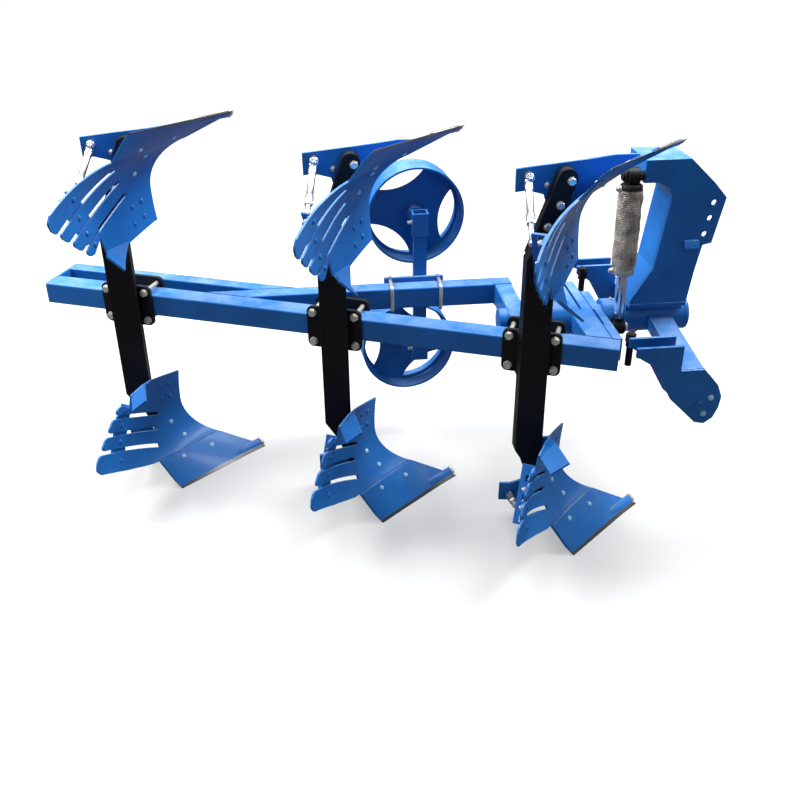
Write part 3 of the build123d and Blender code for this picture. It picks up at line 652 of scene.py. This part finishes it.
def onSurface(nodes, start, direction):
    # where a line from a start first meets one of the nodes, and the surface's direction there
    best = None
    for name in nodes:
        hit, place, normal, face = frame["nodes"][name].ray_cast(start, direction)
        if hit and (best is None or (place - start).length < (best[0] - start).length):
            best = (place, normal if normal.dot(direction) < 0 else -normal)
    return best


def addSeat(places, nodes, start, direction, turn=0.0, square=0.0):
    # one more place, on the first surface that a line from a start meets squarely enough
    found = onSurface(nodes, start, direction)
    if found and found[1].dot(direction) <= square:
        places.append(seat(*found, turn))


# Clamp bolts, over and under the main beam at each leg

clampBolt = {
    "across": 0.030,
    "head": 0.013,
    "washer": (0.0185, 0.003, 0.0006),  # radius, height, rounding
    "shank": 0.010,
    "grip": 0.132,
    "stud": (0.010, 0.014, 0.0022),  # start, length, pitch
    "sink": 0.0004,  # head into washer
    "u": 0.0944,
    "z": 0.0678,
    "plateFace": -0.066,
    "turn": (0.35, 0.1),  # from head to head, and of the first
}


def atFarEnd(shape, grip):
    # a shape turned round to a bolt's other end
    rows, sides = shape
    return [(radius, -grip - height) for radius, height in rows], sides


def makeClampBolts(settings):
    radius, height, edge = settings["washer"]
    grip, shank = settings["grip"], settings["shank"]
    washer = (
        (radius * 0.96, 0.0), (radius, edge), (radius, height - edge), (radius * 0.95, height)
    ), 28
    head = hexHead(settings["across"], settings["head"], height - settings["sink"])
    thread = screwThread(shank, *settings["stud"], 20)
    template = turnedSet(
        "clampBolt", washer, head, (((shank, -grip), (shank, 0.001)), 20),
        *(atFarEnd(shape, grip) for shape in (washer, head, thread))
    )
    towardNear = Vector((-math.sin(beamTurn), -math.cos(beamTurn), 0))
    step, first = settings["turn"]
    face = settings["plateFace"]
    places = []
    for station in stations:
        for index, (along, level) in enumerate(((-1, -1), (-1, 1), (1, -1), (1, 1))):
            place = onBeam(along * settings["u"], face, level * settings["z"], station)
            places.append(seat(place, towardNear, step * index + first))
    finishCopies("clampBolts", template, places, "zinc", replaced=("clamp_bolts",))


makeClampBolts(clampBolt)


# Carriage bolts of the boards, shares and fingers, and the nuts behind them

bodyBolts = {
    "radius": 0.0115,
    "dome": (  # part of the radius, height
        (1.0, -0.002), (1.0, 0.0008), (0.93, 0.0022), (0.72, 0.0042), (0.42, 0.0054),
        (0.05, 0.0058),
    ),
    "neck": ((0.072, 0.402), (0.009, 0.418), (0.069, 0.473), (0.011, 0.485)),
    "breast": ((0.041, 0.613), (0.017, 0.689)),
    "share": ((-0.044, 0.760), (0.113, 0.743)),
    "fingers": ((0.330, 0.398), (0.360, 0.455), (0.385, 0.528), (0.410, 0.612)),
    "tailShift": 0.012,  # finger nuts stand farther across
    "nut": (0.022, 0.010),  # across flats, height
    "stud": (0.006, 0.006, 0.010, 0.0018),  # radius, start, length, pitch
    "square": -0.6,  # how squarely a face has to lie for a nut
    "search": (0.5, -0.4),  # from before and from behind the board
    "turn": 40,  # spreads the nuts' angles
}


def makeBodyBolts(settings):
    rows = [(settings["radius"] * part, height) for part, height in settings["dome"]]
    dome = turnedPiece("dome", rows, 20)
    nut = turnedSet("bodyNut", hexHead(*settings["nut"]), screwThread(*settings["stud"], 14))
    front, back = settings["search"]
    domes = {"blue_paint": [], "worn": []}
    nuts = []
    for station, side in allBodies:
        board, share, frog = (f"{kind}_{station}_{side}" for kind in ("moldboard", "share", "frog"))
        for group, node, finish in (
            ("neck", board, "blue_paint"), ("fingers", board, "blue_paint"),
            ("breast", board, "worn"), ("share", share, "worn"),
        ):
            for w, d in settings[group]:
                start = boardPlace(w, d, front, station, side)
                addSeat(domes[finish], [node], start, -boardForward)
                if group != "fingers":
                    start = boardPlace(w, d, back, station, side)
                    turn = w * settings["turn"]
                    addSeat(nuts, [node, frog], start, boardForward, turn, settings["square"])
        for w, d in settings["fingers"]:
            start = boardPlace(w + settings["tailShift"], d, back, station, side)
            addSeat(nuts, ["tail_bars"], start, boardForward, w * settings["turn"])
    spare = copyPiece(dome, Matrix.Identity(4))
    finishCopies("boardBolts", dome, domes["blue_paint"], "blue_paint")
    # share and breast bolts get the pale paint, with painted glints on their heads
    finishCopies("shareBolts", spare, domes["worn"], "worn", slot="blue_paint")
    finishCopies("bodyNuts", nut, nuts, "zinc")
    print("body bolts", [len(places) for places in domes.values()], "nuts", len(nuts))


makeBodyBolts(bodyBolts)


# Forged points along the shares' noses

sharePoint = {
    "tip": (-0.243, 0.845, 0.3515),  # end of the cutting edge, as boardPlace takes it
    "along": (0.918, 0.0, -0.396),  # back along the cutting edge
    "up": (-0.311, -0.622, -0.722),  # up the share's face
    "out": (0.246, -0.785, 0.570),  # away from the face
    "bar": ((0.012, 0.170), (0.019, 0.056), (-0.0145, 0.0018)),  # along, up and out
    "end": ((-0.004, 0.0125), (0.0175, 0.058), (-0.0155, 0.0028)),
    "rounding": 0.0055,
}


def pointBlock(ranges, settings, station, side):
    deselectAll()
    bpy.ops.mesh.primitive_cube_add(size=1.0)
    block = bpy.context.object
    tip, along, up, out = (Vector(settings[key]) for key in ("tip", "along", "up", "out"))
    for vertex in block.data.vertices:
        a, b, c = (
            low + (part + 0.5) * (high - low) for (low, high), part in zip(ranges, vertex.co)
        )
        vertex.co = boardPlace(*(tip + along * a + up * b + out * c), station, side)
    faceOutwards(block)
    return applyModifier(block, "BEVEL", width=settings["rounding"], segments=3)


def makeSharePoints(settings):
    for name, part, finish in (("sharePoints", "bar", "share"), ("pointTips", "end", "gland")):
        blocks = [pointBlock(settings[part], settings, *body) for body in allBodies]
        finishPiece(joinPieces(name, blocks), finish, slot="blue_paint")


makeSharePoints(sharePoint)


# Bolts of the inclined bars that carry the bodies

barBolts = {
    "head": (0.027, 0.012, 0.0022),  # across flats, height, start
    "washer": ((0.0165, -0.001), (0.0165, 0.0020), (0.0160, 0.0026)),
    "places": ((0.004, 0.540), (0.047, 0.624), (0.083, 0.716)),  # forward, from the beam
    "farPlaces": ((0.047, 0.624), (0.083, 0.716), (-0.060, 0.712), (0.120, 0.755)),
    "search": (-0.5, 0.4),  # from the near and from the far side
    "turn": 90,
}


def makeBarBolts(settings):
    template = turnedSet("barBolt", hexHead(*settings["head"]), (settings["washer"], 26))
    near, far = [], []
    for station, side in allBodies:
        for places, spots, y, nodes in (
            (near, "places", settings["search"][0], [f"leg_{station}"]),
            (far, "farPlaces", settings["search"][1], [f"frog_{station}_{side}", "heels"]),
        ):
            for x, z in settings[spots]:
                start = placed(x, y, overUnder(side) * z, station)
                inwards = Vector((0, -math.copysign(1, y), 0))
                addSeat(places, nodes, start, inwards, x * settings["turn"])
    finishCopies("barBolts", template, near + far, "zinc")
    print("bar bolts", len(near), len(far))


makeBarBolts(barBolts)


# Screwed stays from each heel to the tail bar

screwStay = {
    "start": (-0.072, -0.028, 0.730),
    "end": (0.340, 0.567, -0.074),  # as boardPlace takes it
    "rod": 0.0105,
    "sleeve": 0.0165,
    "sleeveRun": (0.13, 0.66),  # part of the stay's length
    "collar": (0.030, 0.034),  # where the sleeve's thick ends step down
    "lip": 0.004,
    "waist": 0.86,
    "lipSize": 0.92,
    "pitch": 0.0030,
    "lowThread": 0.018,  # where it starts
    "highThread": (0.050, 0.044),  # its length, and where the plain rod starts
    "rodEnd": ((0.94, 0.022), (1.3, 0.016), (1.3, 0.004), (0.6, 0.0)),  # size, from the end
    "lockNut": (0.030, 0.010),  # across flats, height
    "lockNuts": (-0.016, 0.005),  # from either end of the sleeve
    "boss": (0.018, 0.0165, 0.032),  # radius, at its end, height
    "heelNut": (0.027, 0.011),
    "heelStud": (0.008, 0.008, 0.010, 0.002),
    "sink": 0.002,
}


def makeStays(settings):
    x, y, z = settings["start"]
    places = [
        (placed(x, y, overUnder(side) * z, station), boardPlace(*settings["end"], station, side))
        for station, side in allBodies
    ]
    length = (places[0][1] - places[0][0]).length
    low, high = (length * part for part in settings["sleeveRun"])
    rod, sleeve, lip = settings["rod"], settings["sleeve"], settings["lip"]
    waist, edge = sleeve * settings["waist"], sleeve * settings["lipSize"]
    flat, step = settings["collar"]
    start, pitch = settings["lowThread"], settings["pitch"]
    threadLength, plain = settings["highThread"]
    lowNut, highNut = settings["lockNuts"]
    template = turnedSet(
        "stay",
        ((
            (rod, low - lip), (edge, low - lip), (sleeve, low), (sleeve, low + flat),
            (waist, low + step), (waist, high - step), (sleeve, high - flat), (sleeve, high),
            (edge, high + lip), (rod, high + lip),
        ), 28),
        screwThread(rod, start, low - start, pitch, 16),
        hexHead(*settings["lockNut"], low + lowNut),
        hexHead(*settings["lockNut"], high + highNut),
        screwThread(rod, high, threadLength, pitch, 16),
        ([
            (rod * settings["rodEnd"][0][0], high + plain),
            *((rod * part, length - back) for part, back in settings["rodEnd"]),
        ], 20)
    )
    stays = repeatPiece("screwStays", template, [seat(start, end - start) for start, end in places])
    radius, endRadius, reach = settings["boss"]
    sink, towardNear = settings["sink"], (0, -1, 0)
    boss = turnedPiece("boss", ((radius, 0.0), (radius, reach - 0.002), (endRadius, reach)), 28)
    bosses = repeatPiece("bosses", boss, [
        seat(start + Vector((0, sink, 0)), towardNear) for start, end in places
    ])
    nut = turnedSet(
        "heelNut", hexHead(*settings["heelNut"]), screwThread(*settings["heelStud"], 14)
    )
    nuts = repeatPiece("heelNuts", nut, [
        seat(start + Vector((0, sink - reach, 0)), towardNear, 0.3) for start, end in places
    ])
    stays = joinPieces("screwStays", [stays, bosses, nuts])
    finishPiece(stays, "silver", slot="zinc", replaced=("stays",))


makeStays(screwStay)


# Wheel mounting: U-bolts round the beam with their nuts, and the sleeves' set screws

wheelMount = {
    "boltX": (0.255, 0.480),
    "level": 0.058,
    "near": 0.208,
    "face": 0.312,
    "reach": 0.336,
    "radius": 0.008,
    "bend": 0.016,
    "washer": ((0.0145, 0.0), (0.0145, 0.0022), (0.0138, 0.0028)),
    "nut": (0.024, 0.013, 0.0026),  # across flats, height, start
    "turn": 7,
    "sleeve": (0.360, 0.339, 0.322),
    "screw": (0.006, -0.002, 0.014, 0.0018),
    "screwNut": (0.018, 0.006),
    "screwHead": (0.016, 0.008, 0.012),
}


def makeWheelMount(settings):
    near, reach, level = settings["near"], settings["reach"], settings["level"]
    bend = settings["bend"]
    rods, places = [], []
    for x in settings["boltX"]:
        ends = [
            placed(x, y, z)
            for y, z in ((reach, level), (near, level), (near, -level), (reach, -level))
        ]
        points = [ends[0], *roundCorner(*ends[:3], bend), *roundCorner(*ends[1:], bend), ends[3]]
        rods.append(rodAlong("uBolt", points, settings["radius"], 16))
        for z in (level, -level):
            place = placed(x, settings["face"], z)
            places.append(seat(place, (0, 1, 0), x * settings["turn"]))
    nut = turnedSet("uNut", (settings["washer"], 24), hexHead(*settings["nut"]))
    bolts = joinPieces("uBolts", rods + [repeatPiece("uNuts", nut, places)])
    finishPiece(bolts, "zinc", replaced=("u_bolts",))
    screw = turnedSet(
        "setScrew", screwThread(*settings["screw"], 14), hexHead(*settings["screwNut"]),
        hexHead(*settings["screwHead"])
    )
    x, y, z = settings["sleeve"]
    places = [seat(placed(x, y, level * z), (-1, 0, 0), 0.2) for level in (-1, 1)]
    finishCopies("sleeveScrews", screw, places, "zinc")


makeWheelMount(wheelMount)
print("bolts and stays")


# Gauge wheels: rolled rims, weld seams and hub caps

gaugeWheel = {
    "places": {"upper": (0.386, 0.380, 0.335), "lower": (0.350, 0.380, -0.335)},
    "toe": 6.0,
    "rim": 0.228,
    "wall": 0.009,
    "width": 0.150,
    "bead": 0.0052,
    "disc": 0.082,
    "hub": 0.038,
    "weld": 0.0042,
    "weldOut": (0.001, 0.0005),  # how far it stands off the rim and the hub
    "beadIn": 0.9,  # part of a bead's radius
    "welds": (-0.0005, 0.0105),  # seams before and behind the disc's face
    "ripple": (0.0022, 0.009),  # depth and size
    "hubRipple": (0.002, 0.009),
    "cap": ((0.0365, -0.001), (0.0365, 0.0004), (0.0340, 0.0015)),
}


def ringAt(radius, thickness, height, sides=96, small=10):
    deselectAll()
    bpy.ops.mesh.primitive_torus_add(
        major_radius=radius, minor_radius=thickness, major_segments=sides, minor_segments=small,
        location=(0, 0, height),
    )
    ring = bpy.context.object
    bpy.ops.object.transform_apply(location=True)
    return ring


def ripple(piece, strength, size):
    # uneven weld metal
    texture = bpy.data.textures.new("weldRipple", "CLOUDS")
    texture.noise_scale = size
    texture.noise_depth = 1
    return applyModifier(
        piece, "DISPLACE", texture=texture, strength=strength, mid_level=0.5,
        texture_coords="LOCAL"
    )


def makeWheelTrim(settings, side):
    toe = math.radians(settings["toe"])
    axle = Vector((-math.sin(toe), math.cos(toe), 0))
    place = seat(placed(*settings["places"][side]), axle)
    rim, bead, width = settings["rim"], settings["bead"], settings["width"]
    disc, weld = settings["disc"], settings["weld"]
    inner = rim - settings["wall"]
    rimOut, hubOut = settings["weldOut"]
    across = rim - bead * settings["beadIn"]
    parts = [ringAt(across, bead, height) for height in (bead, width - bead)]
    for offset in settings["welds"]:
        seam = ringAt(inner + rimOut, weld, disc + offset, 220, 8)
        parts.append(ripple(seam, *settings["ripple"]))
    seam = ringAt(settings["hub"] + hubOut, weld, disc + settings["welds"][0], 90, 8)
    parts.append(ripple(seam, *settings["hubRipple"]))
    trim = joinPieces(f"{side}WheelTrim", parts)
    trim.data.transform(place)
    finishPiece(trim, "blue_paint", f"{side}_wheel")
    rows = [(radius, width + height) for radius, height in settings["cap"]]
    cap = turnedPiece(f"{side}HubCap", rows, 40)
    cap.data.transform(place)
    finishPiece(cap, "black_paint", f"{side}_wheel")


for side in ("upper", "lower"):
    makeWheelTrim(gaugeWheel, side)


# Turnover cylinder: wrapped barrel, gland, ports and pin ends

turnoverCylinder = {
    "crank": (1.189, -0.185, 0.0),
    "top": (1.189, -0.160, 0.655),
    "barrel": (0.243, 0.610),
    "radius": 0.043,
    "wrap": (0.273, 0.602),
    "wrapRadius": 0.0475,
    "wrapGrid": 210,
    "film": 0.0008,
    "bubble": 0.0100,
    "bubbleSpread": 0.48,  # part of a bubble's place that it covers
    "bubbleHeight": 0.0030,
    "fold": 0.05,
    "foldHeight": 0.005,
    "foldGrain": 2.2,
    "tied": (0.03, 0.002),  # length drawn in at either end, and how far
    "merge": 0.0002,
    "glandNeck": ((0.0240, -0.006), (0.0300, -0.006), (0.0320, -0.004), (0.0320, 0.001)),
    "glandNut": (  # part of the radius, height from the barrel's end
        (1.03, 0.001), (1.05, 0.003), (1.05, 0.020), (1.03, 0.022), (1.008, 0.022),
        (1.008, 0.0255),
    ),
    "head": ((1.01, -0.010), (1.06, -0.008), (1.06, 0.006), (0.98, 0.012)),
    "headTop": (0.030, 0.016),
    "ports": (0.257, 0.6045),
    "portSeat": ((0.015, -0.008), (0.015, 0.004), (0.0140, 0.006)),
    "portPlug": (0.022, 0.008, 0.005),  # across flats, height, start
    "portNeck": ((0.009, 0.012), (0.009, 0.017), (0.0078, 0.019)),
    "eye": (
        (0.0345, -0.0246), (0.0360, -0.0230), (0.0360, 0.0230), (0.0345, 0.0246),
        (0.0200, 0.0246),
    ),
    "pinCollar": ((0.026, -0.001), (0.026, 0.004), (0.0245, 0.0055)),
    "pinEnd": ((0.0175, 0.004), (0.0175, 0.013), (0.0155, 0.0150)),
    "pinFace": 0.0285,  # from the cylinder's middle to the pin's collar
    "crankEnd": ((0.0178, 0.0), (0.0178, 0.010), (0.0160, 0.0125)),
    "crankRing": ((0.0225, 0.001), (0.0225, 0.0034), (0.0215, 0.0040)),
    "crankFace": 0.0295,
}


def makeWrap(settings, place):
    # film wound round the barrel, with bubbles and slack folds
    low, high = settings["wrap"]
    cells, bubble = settings["wrapGrid"], settings["bubble"]
    tiedRun, tiedIn = settings["tied"]
    deselectAll()
    bpy.ops.mesh.primitive_grid_add(x_subdivisions=cells, y_subdivisions=cells, size=2.0)
    wrap = bpy.context.object
    wrap.name = "barrelWrap"
    around = 2 * math.pi
    rowHeight = bubble * math.sqrt(3) / 2
    for vertex in wrap.data.vertices:
        turn = (vertex.co.x + 1) / 2
        height = low + (vertex.co.y + 1) / 2 * (high - low)
        run = turn * around * settings["wrapRadius"]
        row = round((height - low) / rowHeight)
        shift = 0.5 * bubble * (row % 2)
        column = round((run - shift) / bubble)
        away = math.hypot(run - shift - column * bubble, height - low - row * rowHeight)
        dome = max(0.0, 1.0 - (away / (bubble * settings["bubbleSpread"])) ** 2)
        raised = settings["bubbleHeight"] * math.sqrt(dome)
        angle = turn * around
        ring = Vector((math.cos(angle), math.sin(angle), height / settings["fold"] * 0.5))
        fold = settings["foldHeight"] * noise.noise(ring * settings["foldGrain"])
        tied = min(1.0, min(height - low, high - height) / tiedRun)
        reach = settings["wrapRadius"] - tiedIn * (1 - tied) + fold * tied + raised
        vertex.co = (reach * math.cos(angle), reach * math.sin(angle), height)
    faceOutwards(wrap, settings["merge"])
    applyModifier(wrap, "SOLIDIFY", thickness=settings["film"], offset=-1.0)
    wrap.data.transform(place)
    finishPiece(wrap, "wrap", "cylinder_barrel_body", angle=60.0)


def makeCylinderTrim(settings):
    crank, top = placed(*settings["crank"]), placed(*settings["top"])
    place = seat(crank, top - crank)
    makeWrap(settings, place)
    low, high = settings["barrel"]
    radius = settings["radius"]
    gland = turnedPiece("gland", [
        *((size, low + height) for size, height in settings["glandNeck"]),
        *((radius * part, low + height) for part, height in settings["glandNut"]),
    ], 64)
    gland.data.transform(place)
    finishPiece(gland, "gland", "cylinder_barrel_body", slot="zinc")
    port = turnedSet(
        "port", (settings["portSeat"], 24), hexHead(*settings["portPlug"]),
        (settings["portNeck"], 20)
    )
    axle = (top - crank).normalized()
    side = Vector((-1, 0, 0))
    places = [seat(crank + axle * height + side * radius, side) for height in settings["ports"]]
    finishCopies("cylinderPorts", port, places, "gland", "cylinder_barrel_body", slot="zinc")

    # cap, eye and pin at the barrel's upper end
    size, height = settings["headTop"]
    cap = turnedPiece("cap", [
        *((radius * part, high + rise) for part, rise in settings["head"]), (size, high + height)
    ], 56)
    cap.data.transform(place)
    eyeRing = turnedPiece("eyeRing", settings["eye"], 48)
    eyeRing.data.transform(seat(top, (1, 0, 0)))
    pin = turnedSet("pinEnd", (settings["pinCollar"], 36), (settings["pinEnd"], 30))
    pin.data.transform(seat(top + side * settings["pinFace"], side))
    head = joinPieces("barrelHead", [cap, eyeRing, pin])
    finishPiece(head, "black_paint", "cylinder_barrel_body")
    crankEnd = turnedSet("crankPinEnd", (settings["crankEnd"], 32), (settings["crankRing"], 32))
    x, y, z = settings["crank"]
    crankEnd.data.transform(seat(placed(x + settings["crankFace"], y, z), (1, 0, 0)))
    finishPiece(crankEnd, "zinc")


makeCylinderTrim(turnoverCylinder)
print("wheels and cylinder")


# Headstock: link pins with their carrier bolts, stop screw nuts, tab and grease nipple

headstockTrim = {
    "axis": -0.070,
    "pin": (1.440, -0.200),
    "reach": 0.479,
    "plate": 0.014,
    "gap": 0.074,
    "pinRadius": 0.014,
    "pinTaper": (0.0015, 0.009, 0.007),  # radius, and lengths past the far plate
    "pinCollar": (
        (0.0215, -0.001), (0.0215, 0.0055), (0.0200, 0.0075), (0.0075, 0.0075), (0.0060, 0.0030),
    ),
    "pinRing": ((0.0195, -0.0062), (0.0215, -0.0050), (0.0215, 0.0005)),  # at the far plate
    "carrierBolts": ((1.482, -0.164), (1.461, -0.238)),
    "carrierWasher": ((0.0125, -0.0005), (0.0125, 0.0018), (0.0118, 0.0024)),
    "carrierHead": (0.0180, 0.0075, 0.0020),
    "carrierTurn": 5,
    "stop": (1.164, 0.350),
    "stopNut": (0.036, 0.014),
    "stopNuts": ((0.0705, 1, 0.2), (0.0415, -1, 0.5)),  # level, facing up or down, turn
    "tab": (1.435, 1.500, 0.340, 0.380, 0.030),  # x, z and how far it stands out
    "tabBend": (0.55, 0.5, 0.75),  # level part, and how far the bent part goes out and down
    "tabSeat": (0.27, 0.004),
    "tabSheet": 0.006,
    "tabEdge": 0.0015,
    "near": -0.167,
    "nipple": (1.185, 0.075),  # forward, and above the bearing's middle
    "nippleBase": (0.010, 0.005),
    "nippleBall": (
        (0.0030, 0.004), (0.0026, 0.008), (0.0034, 0.010), (0.0030, 0.012), (0.0012, 0.0132),
    ),
}


def makeLinkPins(settings):
    x, z = settings["pin"]
    length = 2 * settings["plate"] + settings["gap"]
    radius = settings["pinRadius"]
    taper, tip, shoulder = settings["pinTaper"]
    pin = turnedSet(
        "linkPin",
        (((radius - taper, -length - tip), (radius, -length - shoulder), (radius, 0.0)), 36),
        (settings["pinCollar"], 36),
        ([(size, -length + height) for size, height in settings["pinRing"]], 36)
    )
    bolt = turnedSet(
        "carrierBolt", (settings["carrierWasher"], 24), hexHead(*settings["carrierHead"])
    )
    pinPlaces, boltPlaces = [], []
    for sense in (-1, 1):
        y = settings["axis"] + sense * settings["reach"]
        pinPlaces.append(seat(placed(x, y, z), (0, sense, 0)))
        for boltX, boltZ in settings["carrierBolts"]:
            turn = boltX * settings["carrierTurn"]
            boltPlaces.append(seat(placed(boltX, y, boltZ), (0, sense, 0), turn))
    finishCopies(
        "linkPins", pin, pinPlaces, "blue_paint", "headstock", slot="zinc", replaced=("link_pins",)
    )
    # carrier bolts get the pale paint, with painted glints on their heads
    finishCopies("carrierBolts", bolt, boltPlaces, "worn", "headstock", slot="blue_paint")


def makeStopNuts(settings):
    x, reach = settings["stop"]
    nut = turnedPiece("nut", *hexHead(*settings["stopNut"]))
    places = []
    for sense in (-1, 1):
        y = settings["axis"] + sense * reach
        for level, facing, turn in settings["stopNuts"]:
            places.append(seat(placed(x, y, level), (0, 0, facing), turn))
    finishCopies("stopNuts", nut, places, "black_paint", "headstock")


def makeTowerTab(settings):
    lowX, highX, lowZ, highZ, out = settings["tab"]
    level, bent, drop = settings["tabBend"]
    middle, sink = settings["tabSeat"]
    deselectAll()
    bpy.ops.mesh.primitive_plane_add(size=1.0)
    tab = bpy.context.object
    tab.name = "towerTab"
    bpy.ops.object.mode_set(mode="EDIT")
    bpy.ops.transform.resize(value=(highX - lowX, out * level, 1.0), center_override=(0, 0, 0))
    bpy.ops.mesh.select_all(action="DESELECT")
    bpy.ops.object.mode_set(mode="OBJECT")
    for vertex in tab.data.vertices:
        vertex.select = vertex.co.y < 0
    bpy.ops.object.mode_set(mode="EDIT")
    bpy.ops.mesh.extrude_region_move(
        TRANSFORM_OT_translate={"value": (0, -out * bent, -(highZ - lowZ) * drop)}
    )
    bpy.ops.object.mode_set(mode="OBJECT")
    applyModifier(tab, "SOLIDIFY", thickness=settings["tabSheet"], offset=-1.0)
    applyModifier(tab, "BEVEL", width=settings["tabEdge"], segments=2, limit_method="ANGLE")
    place = placed((lowX + highX) / 2, settings["near"] - out * middle, highZ - sink)
    tab.data.transform(Matrix.Translation(place))
    finishPiece(faceOutwards(tab), "blue_paint", "headstock")


def makeNipple(settings):
    nipple = turnedSet(
        "greaseNipple", hexHead(*settings["nippleBase"]), (settings["nippleBall"], 16)
    )
    x, z = settings["nipple"]
    nipple.data.transform(seat(placed(x, settings["axis"], z), (0, 0, 1)))
    finishPiece(nipple, "zinc", "headstock")


makeLinkPins(headstockTrim)
makeStopNuts(headstockTrim)
makeTowerTab(headstockTrim)
makeNipple(headstockTrim)


# Weld beads where tubes and plates meet

weldBead = {
    "radius": 0.0045,
    "ripple": 0.0028,
    "size": 0.010,
    "step": 0.004,
    "frame": (  # from, to: straight beads on the frame
        *(((0.730, 0.216, z), (0.811, 0.216, z)) for z in (0.050, -0.050)),
        *(((x, 0.312, 0.060), (x, 0.312, -0.060)) for x in (0.367, 0.427)),
    ),
    "headstock": (
        *(((1.338, y, -0.034), (1.438, y, -0.034)) for y in (-0.549, -0.535, 0.409, 0.395)),
        *(((1.239, y, 0.089), (1.489, y, 0.089)) for y in (-0.167, 0.028)),
    ),
    "frameRings": ((0.811, 0.075), (0.998, 0.075), (0.730, 0.055)),  # along the axis, radius
}


def straightBead(start, end, settings):
    start, end = placed(*start), placed(*end)
    steps = max(2, int((end - start).length / settings["step"]))
    points = [start.lerp(end, step / steps) for step in range(steps + 1)]
    bead = rodAlong("bead", points, settings["radius"], 8)
    return ripple(bead, settings["ripple"], settings["size"])


def makeWelds(settings):
    beads = [straightBead(start, end, settings) for start, end in settings["frame"]]
    for x, radius in settings["frameRings"]:
        bead = ringAt(radius, settings["radius"], 0.0, 130, 8)
        bead = ripple(bead, settings["ripple"], settings["size"])
        bead.data.transform(seat(placed(x, headstockTrim["axis"], 0.0), (1, 0, 0)))
        beads.append(bead)
    finishPiece(joinPieces("frameWelds", beads), "blue_paint")
    beads = [straightBead(start, end, settings) for start, end in settings["headstock"]]
    finishPiece(joinPieces("headstockWelds", beads), "blue_paint", "headstock")


makeWelds(weldBead)
print("headstock and welds")
